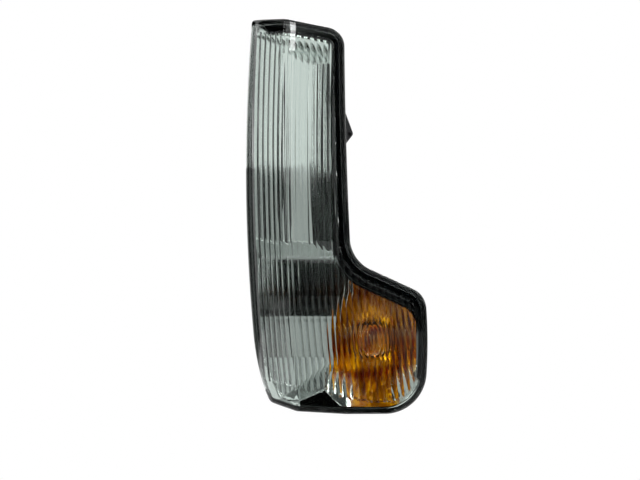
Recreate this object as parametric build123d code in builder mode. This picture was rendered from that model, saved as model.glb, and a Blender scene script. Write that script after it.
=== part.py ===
from build123d import *
import os
from math import asin, cos, radians, sin, sqrt

# Mirror turn signal lamp: an L-shaped lamp for the outer corner of a door mirror.
# +Z is up and the lens looks along -Y. The origin lies midway between the two rear
# fixing bosses, on their seats. Depths are distances forward of those seats, so a
# depth d lies at y = -d. All lengths are in millimetres.

# Front outline, in X and Z, corner by corner before its corners are rounded
top_left = (-23.3, 94.4)
top_crest = (-6.3, 93.9)
top_right = (21.3, 88.4)
arm_right_middle = (22.1, 38.0)
inner_corner = (24.4, -21.3)
outer_corner = (59.9, -37.5)
foot_right_middle = (61.1, -62.0)
bottom_right = (58.7, -94.8)
bottom_middle = (22.0, -94.8)
bottom_crest = (-1.4, -93.4)
bottom_left = (-14.4, -89.4)
left_foot = (-16.9, -83.7)
left_low = (-22.5, -57.0)
left_middle = (-26.1, 27.0)

top_left_round = 1.5
top_right_round = 9.5
inner_round = 17.0
outer_round = 11.0
bottom_right_round = 20.0
bottom_left_round = 4.0

# Plan section of the lens, taken along a crest that bows to the side and backwards
crest_depth = 53.0
crest_x = -7.8
crest_bow_height = 32.0
crest_bow_radius = 1100.0
front_bow_height = 10.0
front_bow_radius = 800.0
crest_round = 4.0
side_radius = 39.6
side_start_slope = 30.0
side_turn = 55.0
front_radius = 600.0
front_start_slope = 2.0
front_turn = 7.2

# Lens
lens_wall = 2.3
front_flute_pitch = 3.1
front_flute_height = 0.25
front_flute_start = 2.5
side_flute_pitch = 2.5
side_flute_height = 0.42
flute_base = 0.15
flutes_on_side = 6
flutes_on_front = 20
flute_border = 5.2
flute_border_left = 2.9
flute_top = 88.4
flute_foot_left = (-4.0, -81.5)
flute_foot_right = (36.0, -89.7)

# Joint between lens and housing, a plane that leans forwards to the right
lens_height_left = 34.0
lens_height_right = 19.0
tongue_width = 1.0
tongue_height = 1.6
groove_clearance = 0.15
adhesive_height = 0.8

# Housing
seat_depth = 5.0
housing_wall = 2.2
housing_step = 1.8
housing_back_round = 4.0
flange_thickness = 4.4
boss_spacing = 144.0
boss_radius = 5.0
boss_hole_radius = 2.1
boss_length = 15.0
boss_hole_depth = 12.0
pin_radius = 2.5
pin_length = 9.0
pin_height = 26.0
pin_chamfer = 0.8
rib_thickness = 1.8
rib_height = 2.6
lug_tip = (25.8, 39.8)
lug_top = 49.9
lug_bottom = 35.0
lug_depth = 16.0
lug_thickness = 5.0
lug_recess_radius = 0.9
lug_recess_depth = 3.0
lug_recess_inset = 1.9
lug_round = 1.5
rib_left = -11.0
rib_right = 9.0
rib_top = 84.0
rib_bottom = -84.0
rib_heights = [84.0, 72.0, 38.0, -14.0, -54.0, -72.0, -84.0]

# Reflector; its depths follow the crest of the lens
reflector_wall = 2.2
reflector_gap = 2.0
reflector_edge_gap = 0.3
rim_width = 0.9
ridge_x = -6.6
ridge_room = 24.0
trough_left_drop = 6.5
trough_foot_width = 1.0
trough_foot_drop = 2.6
trough_middle_drop = 2.1
trough_right_x = 6.3
trough_right_drop = 0.6
strip_width = 20.0
strip_rise = 0.7
cap_edge_left = (-5.8, 81.0)
cap_edge_right = (6.3, 73.3)
cap_rise = 1.35
ledge_top = -13.5
ledge_front = -19.2
ledge_rise = 7.0
chamber_drop = 2.0
chamber_floor_top = -51.0
chamber_middle_rise = 2.5
chamber_middle = -33.0
chamber_floor_bottom = -68.0
chamber_bottom = -92.0
chamber_bottom_rise = 11.0
chamber_right = 24.0
toe_left = (0.0, -81.5)
toe_right = (14.5, -71.8)
toe_rise = 1.5
bowl_center = (34.7, -60.0)
bowl_depth = 13.0
bowl_focal_length = 7.0
bowl_stretch = 1.3
bowl_top_radius = 33.0
bowl_hole_radius = 8.8
pillar_places = [(-4.0, 52.0), (-4.0, -36.0), (16.0, -80.0)]
pillar_radius = 3.6

# Bezel, the black frame beside the chrome on the right
bezel_edge_gap = 0.3
bezel_wall = 1.5
bezel_width = 3.6
bezel_width_foot = 1.6
bezel_line = [(17.0, 2.0), (16.9, -15.5), (22.9, -29.9), (50.6, -43.0), (56.8, -49.0)]
bezel_gap = 1.2
bezel_lip_thickness = 1.6
bezel_top_x = -18.0
bezel_bottom = -78.0
rim_clearance = 0.3

# Wedge base bulb
bulb_radius = 7.5
bulb_glass_wall = 0.8
bulb_tip_depth = 35.0
bulb_shoulder_depth = 15.0
bulb_neck_radius = 4.6
bulb_neck_depth = 11.6
pinch_width = 9.5
pinch_thickness = 2.1
pinch_end_depth = 3.0
filament_depth = 22.0
filament_radius = 0.45
post_radius = 0.3
lead_offset = 2.6
lead_gap = 0.03
lead_top_depth = 8.5
bulb_seal_depth = 13.2

# Twist-lock bulb holder in its port
port_radius = 13.0
port_wall = 3.2
port_seat_depth = 1.0
holder_clearance = 0.35
holder_top_depth = 10.8
twist_lug_radius = 15.2
twist_lug_thickness = 2.0
twist_lug_width = 20.0
twist_lug_count = 3
twist_lug_gap = 0.15
notch_clearance = 0.4
unlock_angle = 45.0
holder_flange_radius = 18.5
holder_flange_thickness = 2.4
seal_thickness = 1.8
seal_gap = 0.1
slot_half_x = 2.7
slot_floor_depth = 1.8
socket_floor_depth = -5.0
seal_fit = 0.05
notch_turn = 3.0
slot_clearance = 0.35
shroud_size_x = 15.0
shroud_size_z = 11.0
shroud_wall = 1.6
shroud_length = 17.0
shroud_round = 1.5
grip_radius = 17.5
grip_thickness = 2.2
grip_length = 8.0

# Contacts
contact_thickness = 0.5
contact_width = 3.2
contact_touch_depth = 7.0
contact_top_depth = 10.0
contact_gap = 0.04
blade_end_depth = -13.0
blade_clearance = 0.08

# Small parts
screw_shank_radius = 1.4
screw_head_radius = 3.2
screw_head_height = 2.2
screw_length = 12.0
screw_hole_clearance = 0.4
screw_recess_width = 3.4
screw_recess_slot = 0.9
vent_place = (3.0, 8.0)
vent_radius = 3.2
vent_hole_radius = 1.6
vent_length = 3.4
vent_cap_wall = 1.3
vent_cap_length = 4.4
vent_cap_stand = 0.3
vent_slot = 1.2

section_heights = [-108.0, -54.0, 0.0, 54.0, 108.0]
far = 150.0

# Worked out from the sizes above
floor_depth = seat_depth + housing_wall
joint_depth_left = crest_depth - lens_height_left
joint_depth_right = crest_depth - lens_height_right
joint_slope = (joint_depth_right - joint_depth_left) / (foot_right_middle[0] - left_middle[0])
holder_seat_depth = port_seat_depth - seal_gap - seal_thickness
holder_back_depth = holder_seat_depth - holder_flange_thickness
lug_back_depth = floor_depth + twist_lug_gap
bezel_inset = lens_wall + bezel_edge_gap
ridge_depth = crest_depth - ridge_room
trough_right_depth = ridge_depth - trough_right_drop
ledge_depth = ridge_depth + ledge_rise
chamber_depth = ridge_depth - chamber_drop
chamber_middle_depth = chamber_depth + chamber_middle_rise
chamber_bottom_depth = chamber_depth + chamber_bottom_rise


def front_plane(depth):
    """Plane that looks forwards at a depth in front of the seats; its axes are X and Z."""
    return Plane.XZ.offset(depth)


def joint_plane(shift):
    """Joint between lens and housing, moved forwards by shift; its normal looks forwards."""
    middle_depth = joint_depth_left + joint_slope * (0.0 - left_middle[0]) + shift
    return Plane(origin=(0, -middle_depth, 0), x_dir=(0, 0, 1), z_dir=(-joint_slope, -1, 0))


def crest_place(height):
    """Plane across the crest at a height: the crest bows to the side and backwards as a parabola."""
    side_bow = (height - crest_bow_height) ** 2 / (2 * crest_bow_radius)
    back_bow = (height - front_bow_height) ** 2 / (2 * front_bow_radius)
    return Plane(origin=(crest_x + side_bow, back_bow, height), x_dir=(1, 0, 0), z_dir=(0, 0, 1))


def lamp_outline(inset=0.0):
    """Front outline of the lamp as a sketch in X and Z, moved inwards by inset."""
    with BuildSketch() as outline:
        with BuildLine():
            Polyline(top_left, top_crest, top_right)
            ThreePointArc(top_right, arm_right_middle, inner_corner)
            Line(inner_corner, outer_corner)
            ThreePointArc(outer_corner, foot_right_middle, bottom_right)
            Polyline(bottom_right, bottom_middle, bottom_crest, bottom_left, left_foot)
            left_edge = ThreePointArc(top_left, left_middle, left_low)
            TangentArc(left_low, left_foot, tangent=left_edge % 1)
        make_face()
        rounds = [
            (top_left, top_left_round),
            (top_right, top_right_round),
            (inner_corner, inner_round),
            (outer_corner, outer_round),
            (bottom_right, bottom_right_round),
            (bottom_left, bottom_left_round),
        ]
        for corner, radius in rounds:
            fillet(vertices().sort_by_distance(corner)[0], radius)
        if inset > 0:
            offset(amount=-inset, kind=Kind.INTERSECTION)
    return outline.sketch


def rim_ring(outer_inset, inner_inset, low, high):
    """Ring along the outline between two insets, from the joint plane moved by low to it moved by high."""
    with BuildPart() as ring:
        with BuildSketch(front_plane(0)):
            add(lamp_outline(outer_inset))
            add(lamp_outline(inner_inset), mode=Mode.SUBTRACT)
        extrude(amount=far / 2)
        split(bisect_by=joint_plane(low), keep=Keep.TOP)
        split(bisect_by=joint_plane(high), keep=Keep.BOTTOM)
    return ring.part


def bezel_zone():
    """Region of the front view that holds the black frame: top right, right side and right of the foot."""
    with BuildSketch() as zone:
        with BuildLine():
            Polyline(
                (bezel_top_x, far), (far, far), (far, bezel_bottom), (bowl_center[0], bezel_bottom),
                bowl_center, (bowl_center[0], 1.5 * inner_corner[1] - inner_round), (0, inner_corner[1]),
                (0, 0.8 * top_right[1]), (bezel_top_x, 0.8 * top_right[1]), close=True,
            )
        make_face()
    return zone.sketch


def front_form(inset=0.0):
    """Space behind the front surface of the lens, moved inwards by inset, in the open part."""
    sections = []
    for height in section_heights:
        with BuildSketch(crest_place(height)) as section:
            with BuildLine():
                start = (0, -crest_depth)
                side_heading = (-cos(radians(side_start_slope)), sin(radians(side_start_slope)))
                front_heading = (cos(radians(front_start_slope)), sin(radians(front_start_slope)))
                side = JernArc(start, side_heading, side_radius, -side_turn)
                front = JernArc(start, front_heading, front_radius, front_turn)
                Polyline(side @ 1, ((side @ 1).X, far), ((front @ 1).X, far), front @ 1)
            make_face()
            fillet(vertices().sort_by_distance(start)[0], crest_round)
            if inset > 0:
                offset(amount=-inset, kind=Kind.INTERSECTION)
        sections.append(section.sketch)
    loft(sections)


def front_station(distance, depth_in):
    """Point of the plan section a distance along the front from the crest, depth_in inside it."""
    turn = radians(front_start_slope) + distance / front_radius
    center_x = -front_radius * sin(radians(front_start_slope))
    center_y = -crest_depth + front_radius * cos(radians(front_start_slope))
    reach = front_radius - depth_in
    return (center_x + reach * sin(turn), center_y - reach * cos(turn))


def side_station(distance, depth_in):
    """Point of the plan section on the side, a distance across from the crest, depth_in inside it."""
    across = sin(radians(side_start_slope)) + distance / side_radius
    center_x = side_radius * sin(radians(side_start_slope))
    center_y = -crest_depth + side_radius * cos(radians(side_start_slope))
    reach = side_radius - depth_in
    return (center_x - reach * across, center_y - reach * cos(asin(across)))


def flute_form():
    """Band of inward flutes behind the lens wall, in the open part: a row of arcs in each section."""
    valley = lens_wall + flute_base
    root = 0.5 * lens_wall
    side_width = side_flute_pitch * flutes_on_side
    side_start = 0.5 * side_flute_pitch
    front_width = front_flute_pitch * flutes_on_front
    sections = []
    for height in section_heights:
        side_corners = []
        for i in range(flutes_on_side, -1, -1):
            side_corners.append(side_station(side_start + side_flute_pitch * i, valley))
        front_corners = []
        for i in range(flutes_on_front + 1):
            front_corners.append(front_station(front_flute_start + front_flute_pitch * i, valley))
        with BuildSketch(crest_place(height)) as section:
            with BuildLine():
                for start, end in zip(side_corners[:-1], side_corners[1:]):
                    SagittaArc(start, end, -side_flute_height)
                SagittaArc(side_corners[-1], front_corners[0], -front_flute_height)
                for start, end in zip(front_corners[:-1], front_corners[1:]):
                    SagittaArc(start, end, -front_flute_height)
                side_root = side_station(side_start + side_width, root)
                side_middle_root = side_station(side_start + 0.5 * side_width, root)
                side_inner_root = side_station(side_start, root)
                front_inner_root = front_station(front_flute_start, root)
                front_middle_root = front_station(front_flute_start + 0.5 * front_width, root)
                front_root = front_station(front_flute_start + front_width, root)
                Line(side_corners[0], side_root)
                ThreePointArc(side_root, side_middle_root, side_inner_root)
                Line(side_inner_root, front_inner_root)
                ThreePointArc(front_inner_root, front_middle_root, front_root)
                Line(front_root, front_corners[-1])
            make_face()
        sections.append(section.sketch)
    loft(sections)


def bezel_window(inset=0.0):
    """Opening inside the black frame, moved inwards: narrow along the arm, wider past the corner line."""
    line = [(x - inset, z - inset) for x, z in bezel_line]
    with BuildSketch() as foot:
        add(lamp_outline(bezel_inset + bezel_width_foot + inset))
        with Locations((bowl_center[0] + far / 2, line[-1][1] - far / 2)):
            Rectangle(far, far, mode=Mode.INTERSECT)
    with BuildSketch() as window:
        add(lamp_outline(bezel_inset + bezel_width + inset))
        with BuildLine():
            Polyline(*line, (far, line[-1][1]), (far, line[0][1]), close=True)
        make_face(mode=Mode.SUBTRACT)
        add(foot.sketch)
    return window.sketch


def reflector_outline(inset):
    """Front outline of the reflector: near the lens wall, but inside the black frame on the right."""
    with BuildSketch() as outside:
        add(bezel_zone())
        add(bezel_window(rim_clearance + inset), mode=Mode.SUBTRACT)
    with BuildSketch() as inside:
        add(lamp_outline(lens_wall + reflector_edge_gap + inset))
        add(outside.sketch, mode=Mode.SUBTRACT)
    return inside.sketch


def at_bowl(depth):
    """Plane that looks forwards at a depth, centred on the bowl's axis."""
    return Plane(origin=(bowl_center[0], -depth, bowl_center[1]), x_dir=(1, 0, 0), z_dir=(0, -1, 0))


os.makedirs("parts", exist_ok=True)

# Lens: a clear L-shaped cap with a wrapped left side and vertical flutes inside

with BuildPart() as lens_inside:
    front_form(lens_wall)
    with BuildSketch(front_plane(0)):
        add(lamp_outline(lens_wall))
    extrude(amount=far, mode=Mode.INTERSECT)

with BuildSketch() as left_window:
    add(lamp_outline(flute_border_left))
    with Locations((crest_x - far / 2, 0)):
        Rectangle(far, 2 * flute_top, mode=Mode.INTERSECT)

with BuildSketch() as flute_window:
    add(lamp_outline(flute_border))
    add(left_window.sketch)
    with BuildLine():
        Polyline(flute_foot_left, flute_foot_right, (far, -far), (-far, -far), flute_foot_left)
    make_face(mode=Mode.SUBTRACT)

with BuildPart() as flutes:
    flute_form()
    with BuildSketch(front_plane(0)):
        add(flute_window.sketch)
    extrude(amount=far, mode=Mode.INTERSECT)

tongue = rim_ring(
    0.5 * (lens_wall - tongue_width), 0.5 * (lens_wall + tongue_width), -tongue_height, 0.5 * lens_wall
)

with BuildPart() as lens:
    front_form()
    with BuildSketch(front_plane(0)):
        add(lamp_outline())
    extrude(amount=far, mode=Mode.INTERSECT)
    add(lens_inside.part, mode=Mode.SUBTRACT)
    add(flutes.part)
    split(bisect_by=joint_plane(0), keep=Keep.TOP)
    add(tongue)

# Housing: the black back shell, with a flange for the lens, bosses, a pin, a lug and the bulb port

groove_half = 0.5 * tongue_width + groove_clearance
groove_depth = tongue_height + adhesive_height
flange = rim_ring(0.0, housing_step + housing_wall, -flange_thickness, 0.0)
groove = rim_ring(0.5 * lens_wall - groove_half, 0.5 * lens_wall + groove_half, -groove_depth, 1.0)

with BuildPart() as housing_shell:
    with BuildSketch(front_plane(seat_depth)):
        add(lamp_outline(housing_step))
    extrude(amount=far / 2)
    fillet(faces().sort_by(Axis.Y)[-1].edges(), housing_back_round)
    with BuildSketch(front_plane(floor_depth)):
        add(lamp_outline(housing_step + housing_wall))
    extrude(amount=far, mode=Mode.SUBTRACT)
    split(bisect_by=joint_plane(-0.5 * flange_thickness), keep=Keep.BOTTOM)

with BuildPart() as housing:
    add(housing_shell.part)
    add(flange)
    add(groove, mode=Mode.SUBTRACT)
    # Fixing bosses, in a line at X = 0
    with BuildSketch(front_plane(0)):
        with GridLocations(0, boss_spacing, 1, 2):
            Circle(boss_radius)
    extrude(amount=boss_length)
    # Stiffening ribs on the back
    with BuildSketch(front_plane(seat_depth)):
        with Locations((rib_left, 0.5 * (rib_top + rib_bottom)), (rib_right, 0.5 * (rib_top + rib_bottom))):
            Rectangle(rib_thickness, rib_top - rib_bottom)
        with Locations(*[(0.5 * (rib_left + rib_right), height) for height in rib_heights]):
            Rectangle(rib_right - rib_left, rib_thickness)
    extrude(amount=-rib_height)
    # Locating pin
    with BuildSketch(front_plane(seat_depth)):
        with Locations((0, pin_height)):
            Circle(pin_radius)
    extrude(amount=-(pin_length - pin_chamfer))
    with BuildSketch(front_plane(seat_depth - pin_length + pin_chamfer)):
        with Locations((0, pin_height)):
            Circle(pin_radius)
    extrude(amount=-pin_chamfer, taper=45)
    # Vent spigot
    with BuildSketch(front_plane(seat_depth)):
        with Locations(vent_place):
            Circle(vent_radius)
    extrude(amount=-vent_length)
    # Collar of the bulb port
    with BuildSketch(at_bowl(port_seat_depth)):
        Circle(port_radius + port_wall)
    extrude(amount=floor_depth - port_seat_depth)
    with BuildSketch(at_bowl(port_seat_depth)):
        Circle(port_radius)
        with PolarLocations(0, twist_lug_count, -unlock_angle):
            with BuildLine():
                notch_radius = twist_lug_radius + notch_clearance
                half = 0.5 * twist_lug_width + notch_turn
                CenterArc((0, 0), notch_radius, -half, 2 * half)
                Polyline(
                    (notch_radius * cos(radians(half)), notch_radius * sin(radians(half))), (0, 0),
                    (notch_radius * cos(radians(half)), -notch_radius * sin(radians(half))),
                )
            make_face()
    extrude(amount=floor_depth, mode=Mode.SUBTRACT)
    # Snap lug beside the arm
    with BuildSketch(front_plane(lug_depth)):
        with BuildLine():
            root = arm_right_middle[0] - housing_step - 0.5 * housing_wall
            Polyline((root, lug_top), (arm_right_middle[0], lug_top), lug_tip,
                     (arm_right_middle[0], lug_bottom), (root, lug_bottom), close=True)
        make_face()
        fillet(vertices().sort_by_distance(lug_tip)[0], lug_round)
    extrude(amount=lug_thickness)
    with BuildSketch(front_plane(lug_depth + lug_thickness)):
        with Locations((lug_tip[0] - lug_recess_inset, lug_tip[1])):
            Circle(lug_recess_radius)
    extrude(amount=-lug_recess_depth, mode=Mode.SUBTRACT)
    # Holes from the back
    with BuildSketch(front_plane(0)):
        with GridLocations(0, boss_spacing, 1, 2):
            Circle(boss_hole_radius)
    extrude(amount=boss_hole_depth, mode=Mode.SUBTRACT)
    with BuildSketch(front_plane(seat_depth - vent_length)):
        with Locations(vent_place):
            Circle(vent_hole_radius)
    extrude(amount=vent_length + housing_wall, mode=Mode.SUBTRACT)
    with BuildSketch(front_plane(seat_depth)):
        with Locations(*pillar_places):
            Circle(screw_shank_radius + screw_hole_clearance)
    extrude(amount=housing_wall, mode=Mode.SUBTRACT)

# Sealant in the groove under the lens's tongue

lens_sealant = rim_ring(
    0.5 * lens_wall - groove_half, 0.5 * lens_wall + groove_half, -groove_depth, -tongue_height
)

# Reflector: a thin chromed tray with a trough in the arm, a chamber in the foot and a bowl for the bulb

with BuildPart() as arm_space:
    with BuildSketch(Plane.XY.offset(-far)):
        with BuildLine():
            left_slope = trough_left_drop / (ridge_x - left_middle[0])
            outside_x = 2 * left_middle[0]
            outside_left = (outside_x, -(ridge_depth + left_slope * (outside_x - ridge_x)))
            right_end = (trough_right_x + strip_width, -(trough_right_depth + strip_rise * strip_width))
            ridge = (ridge_x, -ridge_depth)
            trough_foot = (ridge_x + trough_foot_width, -(ridge_depth - trough_foot_drop))
            trough_middle = (0.5 * (trough_foot[0] + trough_right_x), -(ridge_depth - trough_middle_drop))
            trough_right = (trough_right_x, -trough_right_depth)
            Polyline(outside_left, ridge, trough_foot)
            ThreePointArc(trough_foot, trough_middle, trough_right)
            Line(trough_right, right_end)
            Polyline(right_end, (right_end[0], -far), (outside_left[0], -far), outside_left)
        make_face()
    extrude(amount=2 * far)
    run_x = cap_edge_right[0] - cap_edge_left[0]
    run_z = cap_edge_right[1] - cap_edge_left[1]
    run = sqrt(run_x**2 + run_z**2)
    cap_normal = (cap_rise * run_z / run, -1, -cap_rise * run_x / run)
    cap_corner = (cap_edge_left[0], -trough_right_depth, cap_edge_left[1])
    split(bisect_by=Plane(origin=cap_corner, z_dir=cap_normal))
    ledge_slope = (ledge_depth - trough_right_depth) / (ledge_top - ledge_front)
    split(bisect_by=Plane(origin=(0, -trough_right_depth, ledge_top), z_dir=(0, -1, ledge_slope)))

with BuildPart() as foot_space:
    with BuildSketch(Plane.YZ.offset(2 * left_middle[0])):
        with BuildLine():
            front_top = (-far, ledge_front)
            arc_top = (-ledge_depth, ledge_front)
            arc_middle = (-chamber_middle_depth, chamber_middle)
            arc_end = (-chamber_depth, chamber_floor_top)
            slope_top = (-chamber_depth, chamber_floor_bottom)
            slope_end = (-chamber_bottom_depth, chamber_bottom)
            Line(front_top, arc_top)
            ThreePointArc(arc_top, arc_middle, arc_end)
            Polyline(arc_end, slope_top, slope_end, (-far, -far), front_top)
        make_face()
    extrude(amount=chamber_right - 2 * left_middle[0])
    toe_run_x = toe_right[0] - toe_left[0]
    toe_run_z = toe_right[1] - toe_left[1]
    toe_run = sqrt(toe_run_x**2 + toe_run_z**2)
    floor_slope = chamber_bottom_rise / (chamber_floor_bottom - chamber_bottom)
    toe_depth = chamber_depth + floor_slope * (chamber_floor_bottom - toe_left[1])
    toe_fall = floor_slope * toe_run_z / toe_run
    toe_slope_x = (toe_rise * toe_run_z - toe_fall * toe_run_x) / toe_run
    toe_slope_z = (toe_rise * toe_run_x + toe_fall * toe_run_z) / toe_run
    toe_corner = (toe_left[0], -toe_depth, toe_left[1])
    split(bisect_by=Plane(origin=toe_corner, z_dir=(-toe_slope_x, -1, toe_slope_z)))

with BuildPart() as round_bowl:
    with BuildSketch(Plane.XY):
        with BuildLine():
            bowl_top = bowl_depth + bowl_top_radius**2 / (4 * bowl_focal_length)
            Bezier((0, -bowl_depth), (0.5 * bowl_top_radius, -bowl_depth), (bowl_top_radius, -bowl_top))
            Polyline((bowl_top_radius, -bowl_top), (bowl_top_radius, -far), (0, -far), (0, -bowl_depth))
        make_face()
    revolve(axis=Axis.Y)

bowl_space = scale(round_bowl.part, by=(1, 1, bowl_stretch))

with BuildPart() as tray_space:
    add(arm_space.part)
    add(foot_space.part)
    with Locations((bowl_center[0], 0, bowl_center[1])):
        add(bowl_space)

with BuildPart() as tray_inside:
    add(tray_space.part)
    with BuildSketch(front_plane(0)):
        add(reflector_outline(rim_width))
    extrude(amount=far, mode=Mode.INTERSECT)

with BuildPart() as reflector:
    front_form(lens_wall + reflector_gap)
    with BuildSketch(front_plane(floor_depth)):
        add(reflector_outline(0.0))
    extrude(amount=far, mode=Mode.INTERSECT)
    with Locations((0, reflector_wall, 0)):
        add(tray_space.part, mode=Mode.INTERSECT)
    with BuildSketch(front_plane(floor_depth)):
        with Locations(*pillar_places):
            Circle(pillar_radius)
    extrude(amount=ledge_depth - floor_depth)
    add(tray_inside.part, mode=Mode.SUBTRACT)
    with BuildSketch(front_plane(floor_depth)):
        with Locations(*pillar_places):
            Circle(screw_shank_radius)
    extrude(amount=screw_length, mode=Mode.SUBTRACT)
    with BuildSketch(at_bowl(0)):
        Circle(bowl_hole_radius)
    extrude(amount=far, mode=Mode.SUBTRACT)

# Bezel: the black frame between lens wall and chrome, an angle section that follows the outline

with BuildPart() as under_lip:
    front_form(lens_wall + bezel_gap + bezel_lip_thickness)
    with BuildSketch(front_plane(0)):
        add(lamp_outline(bezel_inset + bezel_wall))
    extrude(amount=far, mode=Mode.INTERSECT)

with BuildSketch() as bezel_face:
    add(lamp_outline(bezel_inset))
    add(bezel_window(), mode=Mode.SUBTRACT)
    add(bezel_zone(), mode=Mode.INTERSECT)

with BuildPart() as bezel:
    front_form(lens_wall + bezel_gap)
    with BuildSketch(front_plane(0)):
        add(bezel_face.sketch)
    extrude(amount=far, mode=Mode.INTERSECT)
    add(under_lip.part, mode=Mode.SUBTRACT)
    split(bisect_by=joint_plane(0), keep=Keep.TOP)

# Wedge base bulb: amber glass blown over a flat pinch, with leads folded up its sides

side_lead_x = 0.5 * pinch_thickness + post_radius + lead_gap
lead_end_depth = pinch_end_depth - 2 * post_radius

with BuildPart() as bulb_leads:
    for side in (1, -1):
        lead_height = bowl_center[1] + side * lead_offset
        lead_x = side * side_lead_x
        with BuildLine(Plane(origin=(bowl_center[0], 0, lead_height), z_dir=(0, 0, 1))):
            lead_path = FilletPolyline(
                (0, -filament_depth), (0, -lead_end_depth), (lead_x, -lead_end_depth),
                (lead_x, -lead_top_depth), radius=2 * post_radius,
            )
        with BuildSketch(Plane(origin=lead_path @ 0, z_dir=lead_path % 0)):
            Circle(post_radius)
        sweep(path=lead_path)

with BuildPart() as bulb_filament:
    with BuildSketch(Plane.XY.offset(bowl_center[1] - lead_offset + post_radius)):
        with Locations((bowl_center[0], -filament_depth + post_radius)):
            Circle(filament_radius)
    extrude(amount=2 * (lead_offset - post_radius))

with BuildPart() as bulb_blank:
    with BuildSketch(Plane.XY):
        with BuildLine():
            dome_depth = bulb_tip_depth - bulb_radius
            outer_middle = (bulb_radius / sqrt(2), -(dome_depth + bulb_radius / sqrt(2)))
            outer_dome = ThreePointArc((0, -bulb_tip_depth), outer_middle, (bulb_radius, -dome_depth))
            shoulder, neck = (bulb_radius, -bulb_shoulder_depth), (bulb_neck_radius, -bulb_neck_depth)
            Polyline(outer_dome @ 1, shoulder, neck, (0, -bulb_neck_depth), outer_dome @ 0)
        make_face()
        with BuildLine():
            room = bulb_radius - bulb_glass_wall
            neck_room = bulb_neck_radius - bulb_glass_wall
            inner_middle = (room / sqrt(2), -(dome_depth + room / sqrt(2)))
            inner_dome = ThreePointArc((0, -(dome_depth + room)), inner_middle, (room, -dome_depth))
            Polyline(inner_dome @ 1, (room, -bulb_shoulder_depth), (neck_room, -bulb_seal_depth),
                     (0, -bulb_seal_depth), inner_dome @ 0)
        make_face(mode=Mode.SUBTRACT)
    revolve(axis=Axis.Y)
    with BuildSketch(front_plane(pinch_end_depth)):
        Rectangle(pinch_thickness, pinch_width)
    extrude(amount=0.5 * (bulb_neck_depth + bulb_seal_depth) - pinch_end_depth)

with BuildPart() as bulb_glass:
    with Locations((bowl_center[0], 0, bowl_center[1])):
        add(bulb_blank.part)
    add(bulb_leads.part, mode=Mode.SUBTRACT)

# Contacts: two brass strips that spring against the leads and end as blades in the plug socket

contact_x = 0.5 * pinch_thickness + 2 * post_radius + lead_gap + 0.5 * contact_thickness + contact_gap
wall_x = slot_half_x - 0.5 * contact_thickness - contact_gap
contacts = []
for side in (1, -1):
    with BuildPart() as contact:
        strip_bottom = bowl_center[1] + side * lead_offset - 0.5 * contact_width
        with BuildSketch(Plane(origin=(bowl_center[0], 0, strip_bottom), z_dir=(0, 0, 1))):
            with BuildLine():
                Polyline((side * wall_x, -blade_end_depth), (side * wall_x, -slot_floor_depth),
                         (side * contact_x, -contact_touch_depth), (side * wall_x, -contact_top_depth))
            trace(line_width=contact_thickness)
        extrude(amount=contact_width)
    contacts.append(contact.part)

# Bulb holder: a twist-lock plug with a wedge slot in front and a plug socket behind

with BuildPart() as bulb_holder:
    plug_radius = port_radius - holder_clearance
    with BuildSketch(at_bowl(holder_seat_depth)):
        Circle(plug_radius)
    extrude(amount=holder_top_depth - holder_seat_depth)
    with BuildSketch(at_bowl(lug_back_depth)):
        with PolarLocations(0, twist_lug_count):
            with BuildLine():
                half = 0.5 * twist_lug_width
                CenterArc((0, 0), twist_lug_radius, -half, 2 * half)
                Polyline(
                    (twist_lug_radius * cos(radians(half)), twist_lug_radius * sin(radians(half))), (0, 0),
                    (twist_lug_radius * cos(radians(half)), -twist_lug_radius * sin(radians(half))),
                )
            make_face()
    extrude(amount=twist_lug_thickness)
    with BuildSketch(at_bowl(holder_seat_depth)):
        Circle(holder_flange_radius)
    extrude(amount=-holder_flange_thickness)
    with BuildSketch(at_bowl(holder_back_depth)):
        Rectangle(2 * grip_radius, grip_thickness)
    extrude(amount=-grip_length)
    with BuildSketch(at_bowl(holder_back_depth)):
        RectangleRounded(shroud_size_x, shroud_size_z, shroud_round)
    extrude(amount=-shroud_length)
    with BuildSketch(at_bowl(socket_floor_depth)):
        Rectangle(shroud_size_x - 2 * shroud_wall, shroud_size_z - 2 * shroud_wall)
    extrude(amount=-far, mode=Mode.SUBTRACT)
    with BuildSketch(at_bowl(slot_floor_depth)):
        Rectangle(2 * slot_half_x, pinch_width + 2 * slot_clearance)
    extrude(amount=far, mode=Mode.SUBTRACT)
    with BuildSketch(at_bowl(slot_floor_depth)):
        with Locations((wall_x, lead_offset), (-wall_x, -lead_offset)):
            Rectangle(contact_thickness + 2 * blade_clearance, contact_width + 2 * blade_clearance)
    extrude(amount=-far, mode=Mode.SUBTRACT)

with BuildPart() as holder_seal:
    with BuildSketch(at_bowl(holder_seat_depth)):
        Circle(port_radius + port_wall)
        Circle(plug_radius + seal_fit, mode=Mode.SUBTRACT)
    extrude(amount=seal_thickness)

# Screws that hold the reflector, seen on the back

with BuildPart() as reflector_screws:
    with BuildSketch(front_plane(seat_depth)):
        with Locations(*pillar_places):
            Circle(screw_head_radius)
    extrude(amount=-screw_head_height)
    fillet(edges().group_by(Axis.Y)[-1], 0.4 * screw_head_height)
    with BuildSketch(front_plane(seat_depth - screw_head_height)):
        with Locations(*pillar_places):
            Rectangle(screw_recess_width, screw_recess_slot)
            Rectangle(screw_recess_slot, screw_recess_width)
    extrude(amount=0.5 * screw_head_height, mode=Mode.SUBTRACT)
    with BuildSketch(front_plane(seat_depth)):
        with Locations(*pillar_places):
            Circle(screw_shank_radius)
    extrude(amount=screw_length)

# Vent cap: a soft cup pressed on the vent spigot, with two breathing slots in its rim

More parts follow.
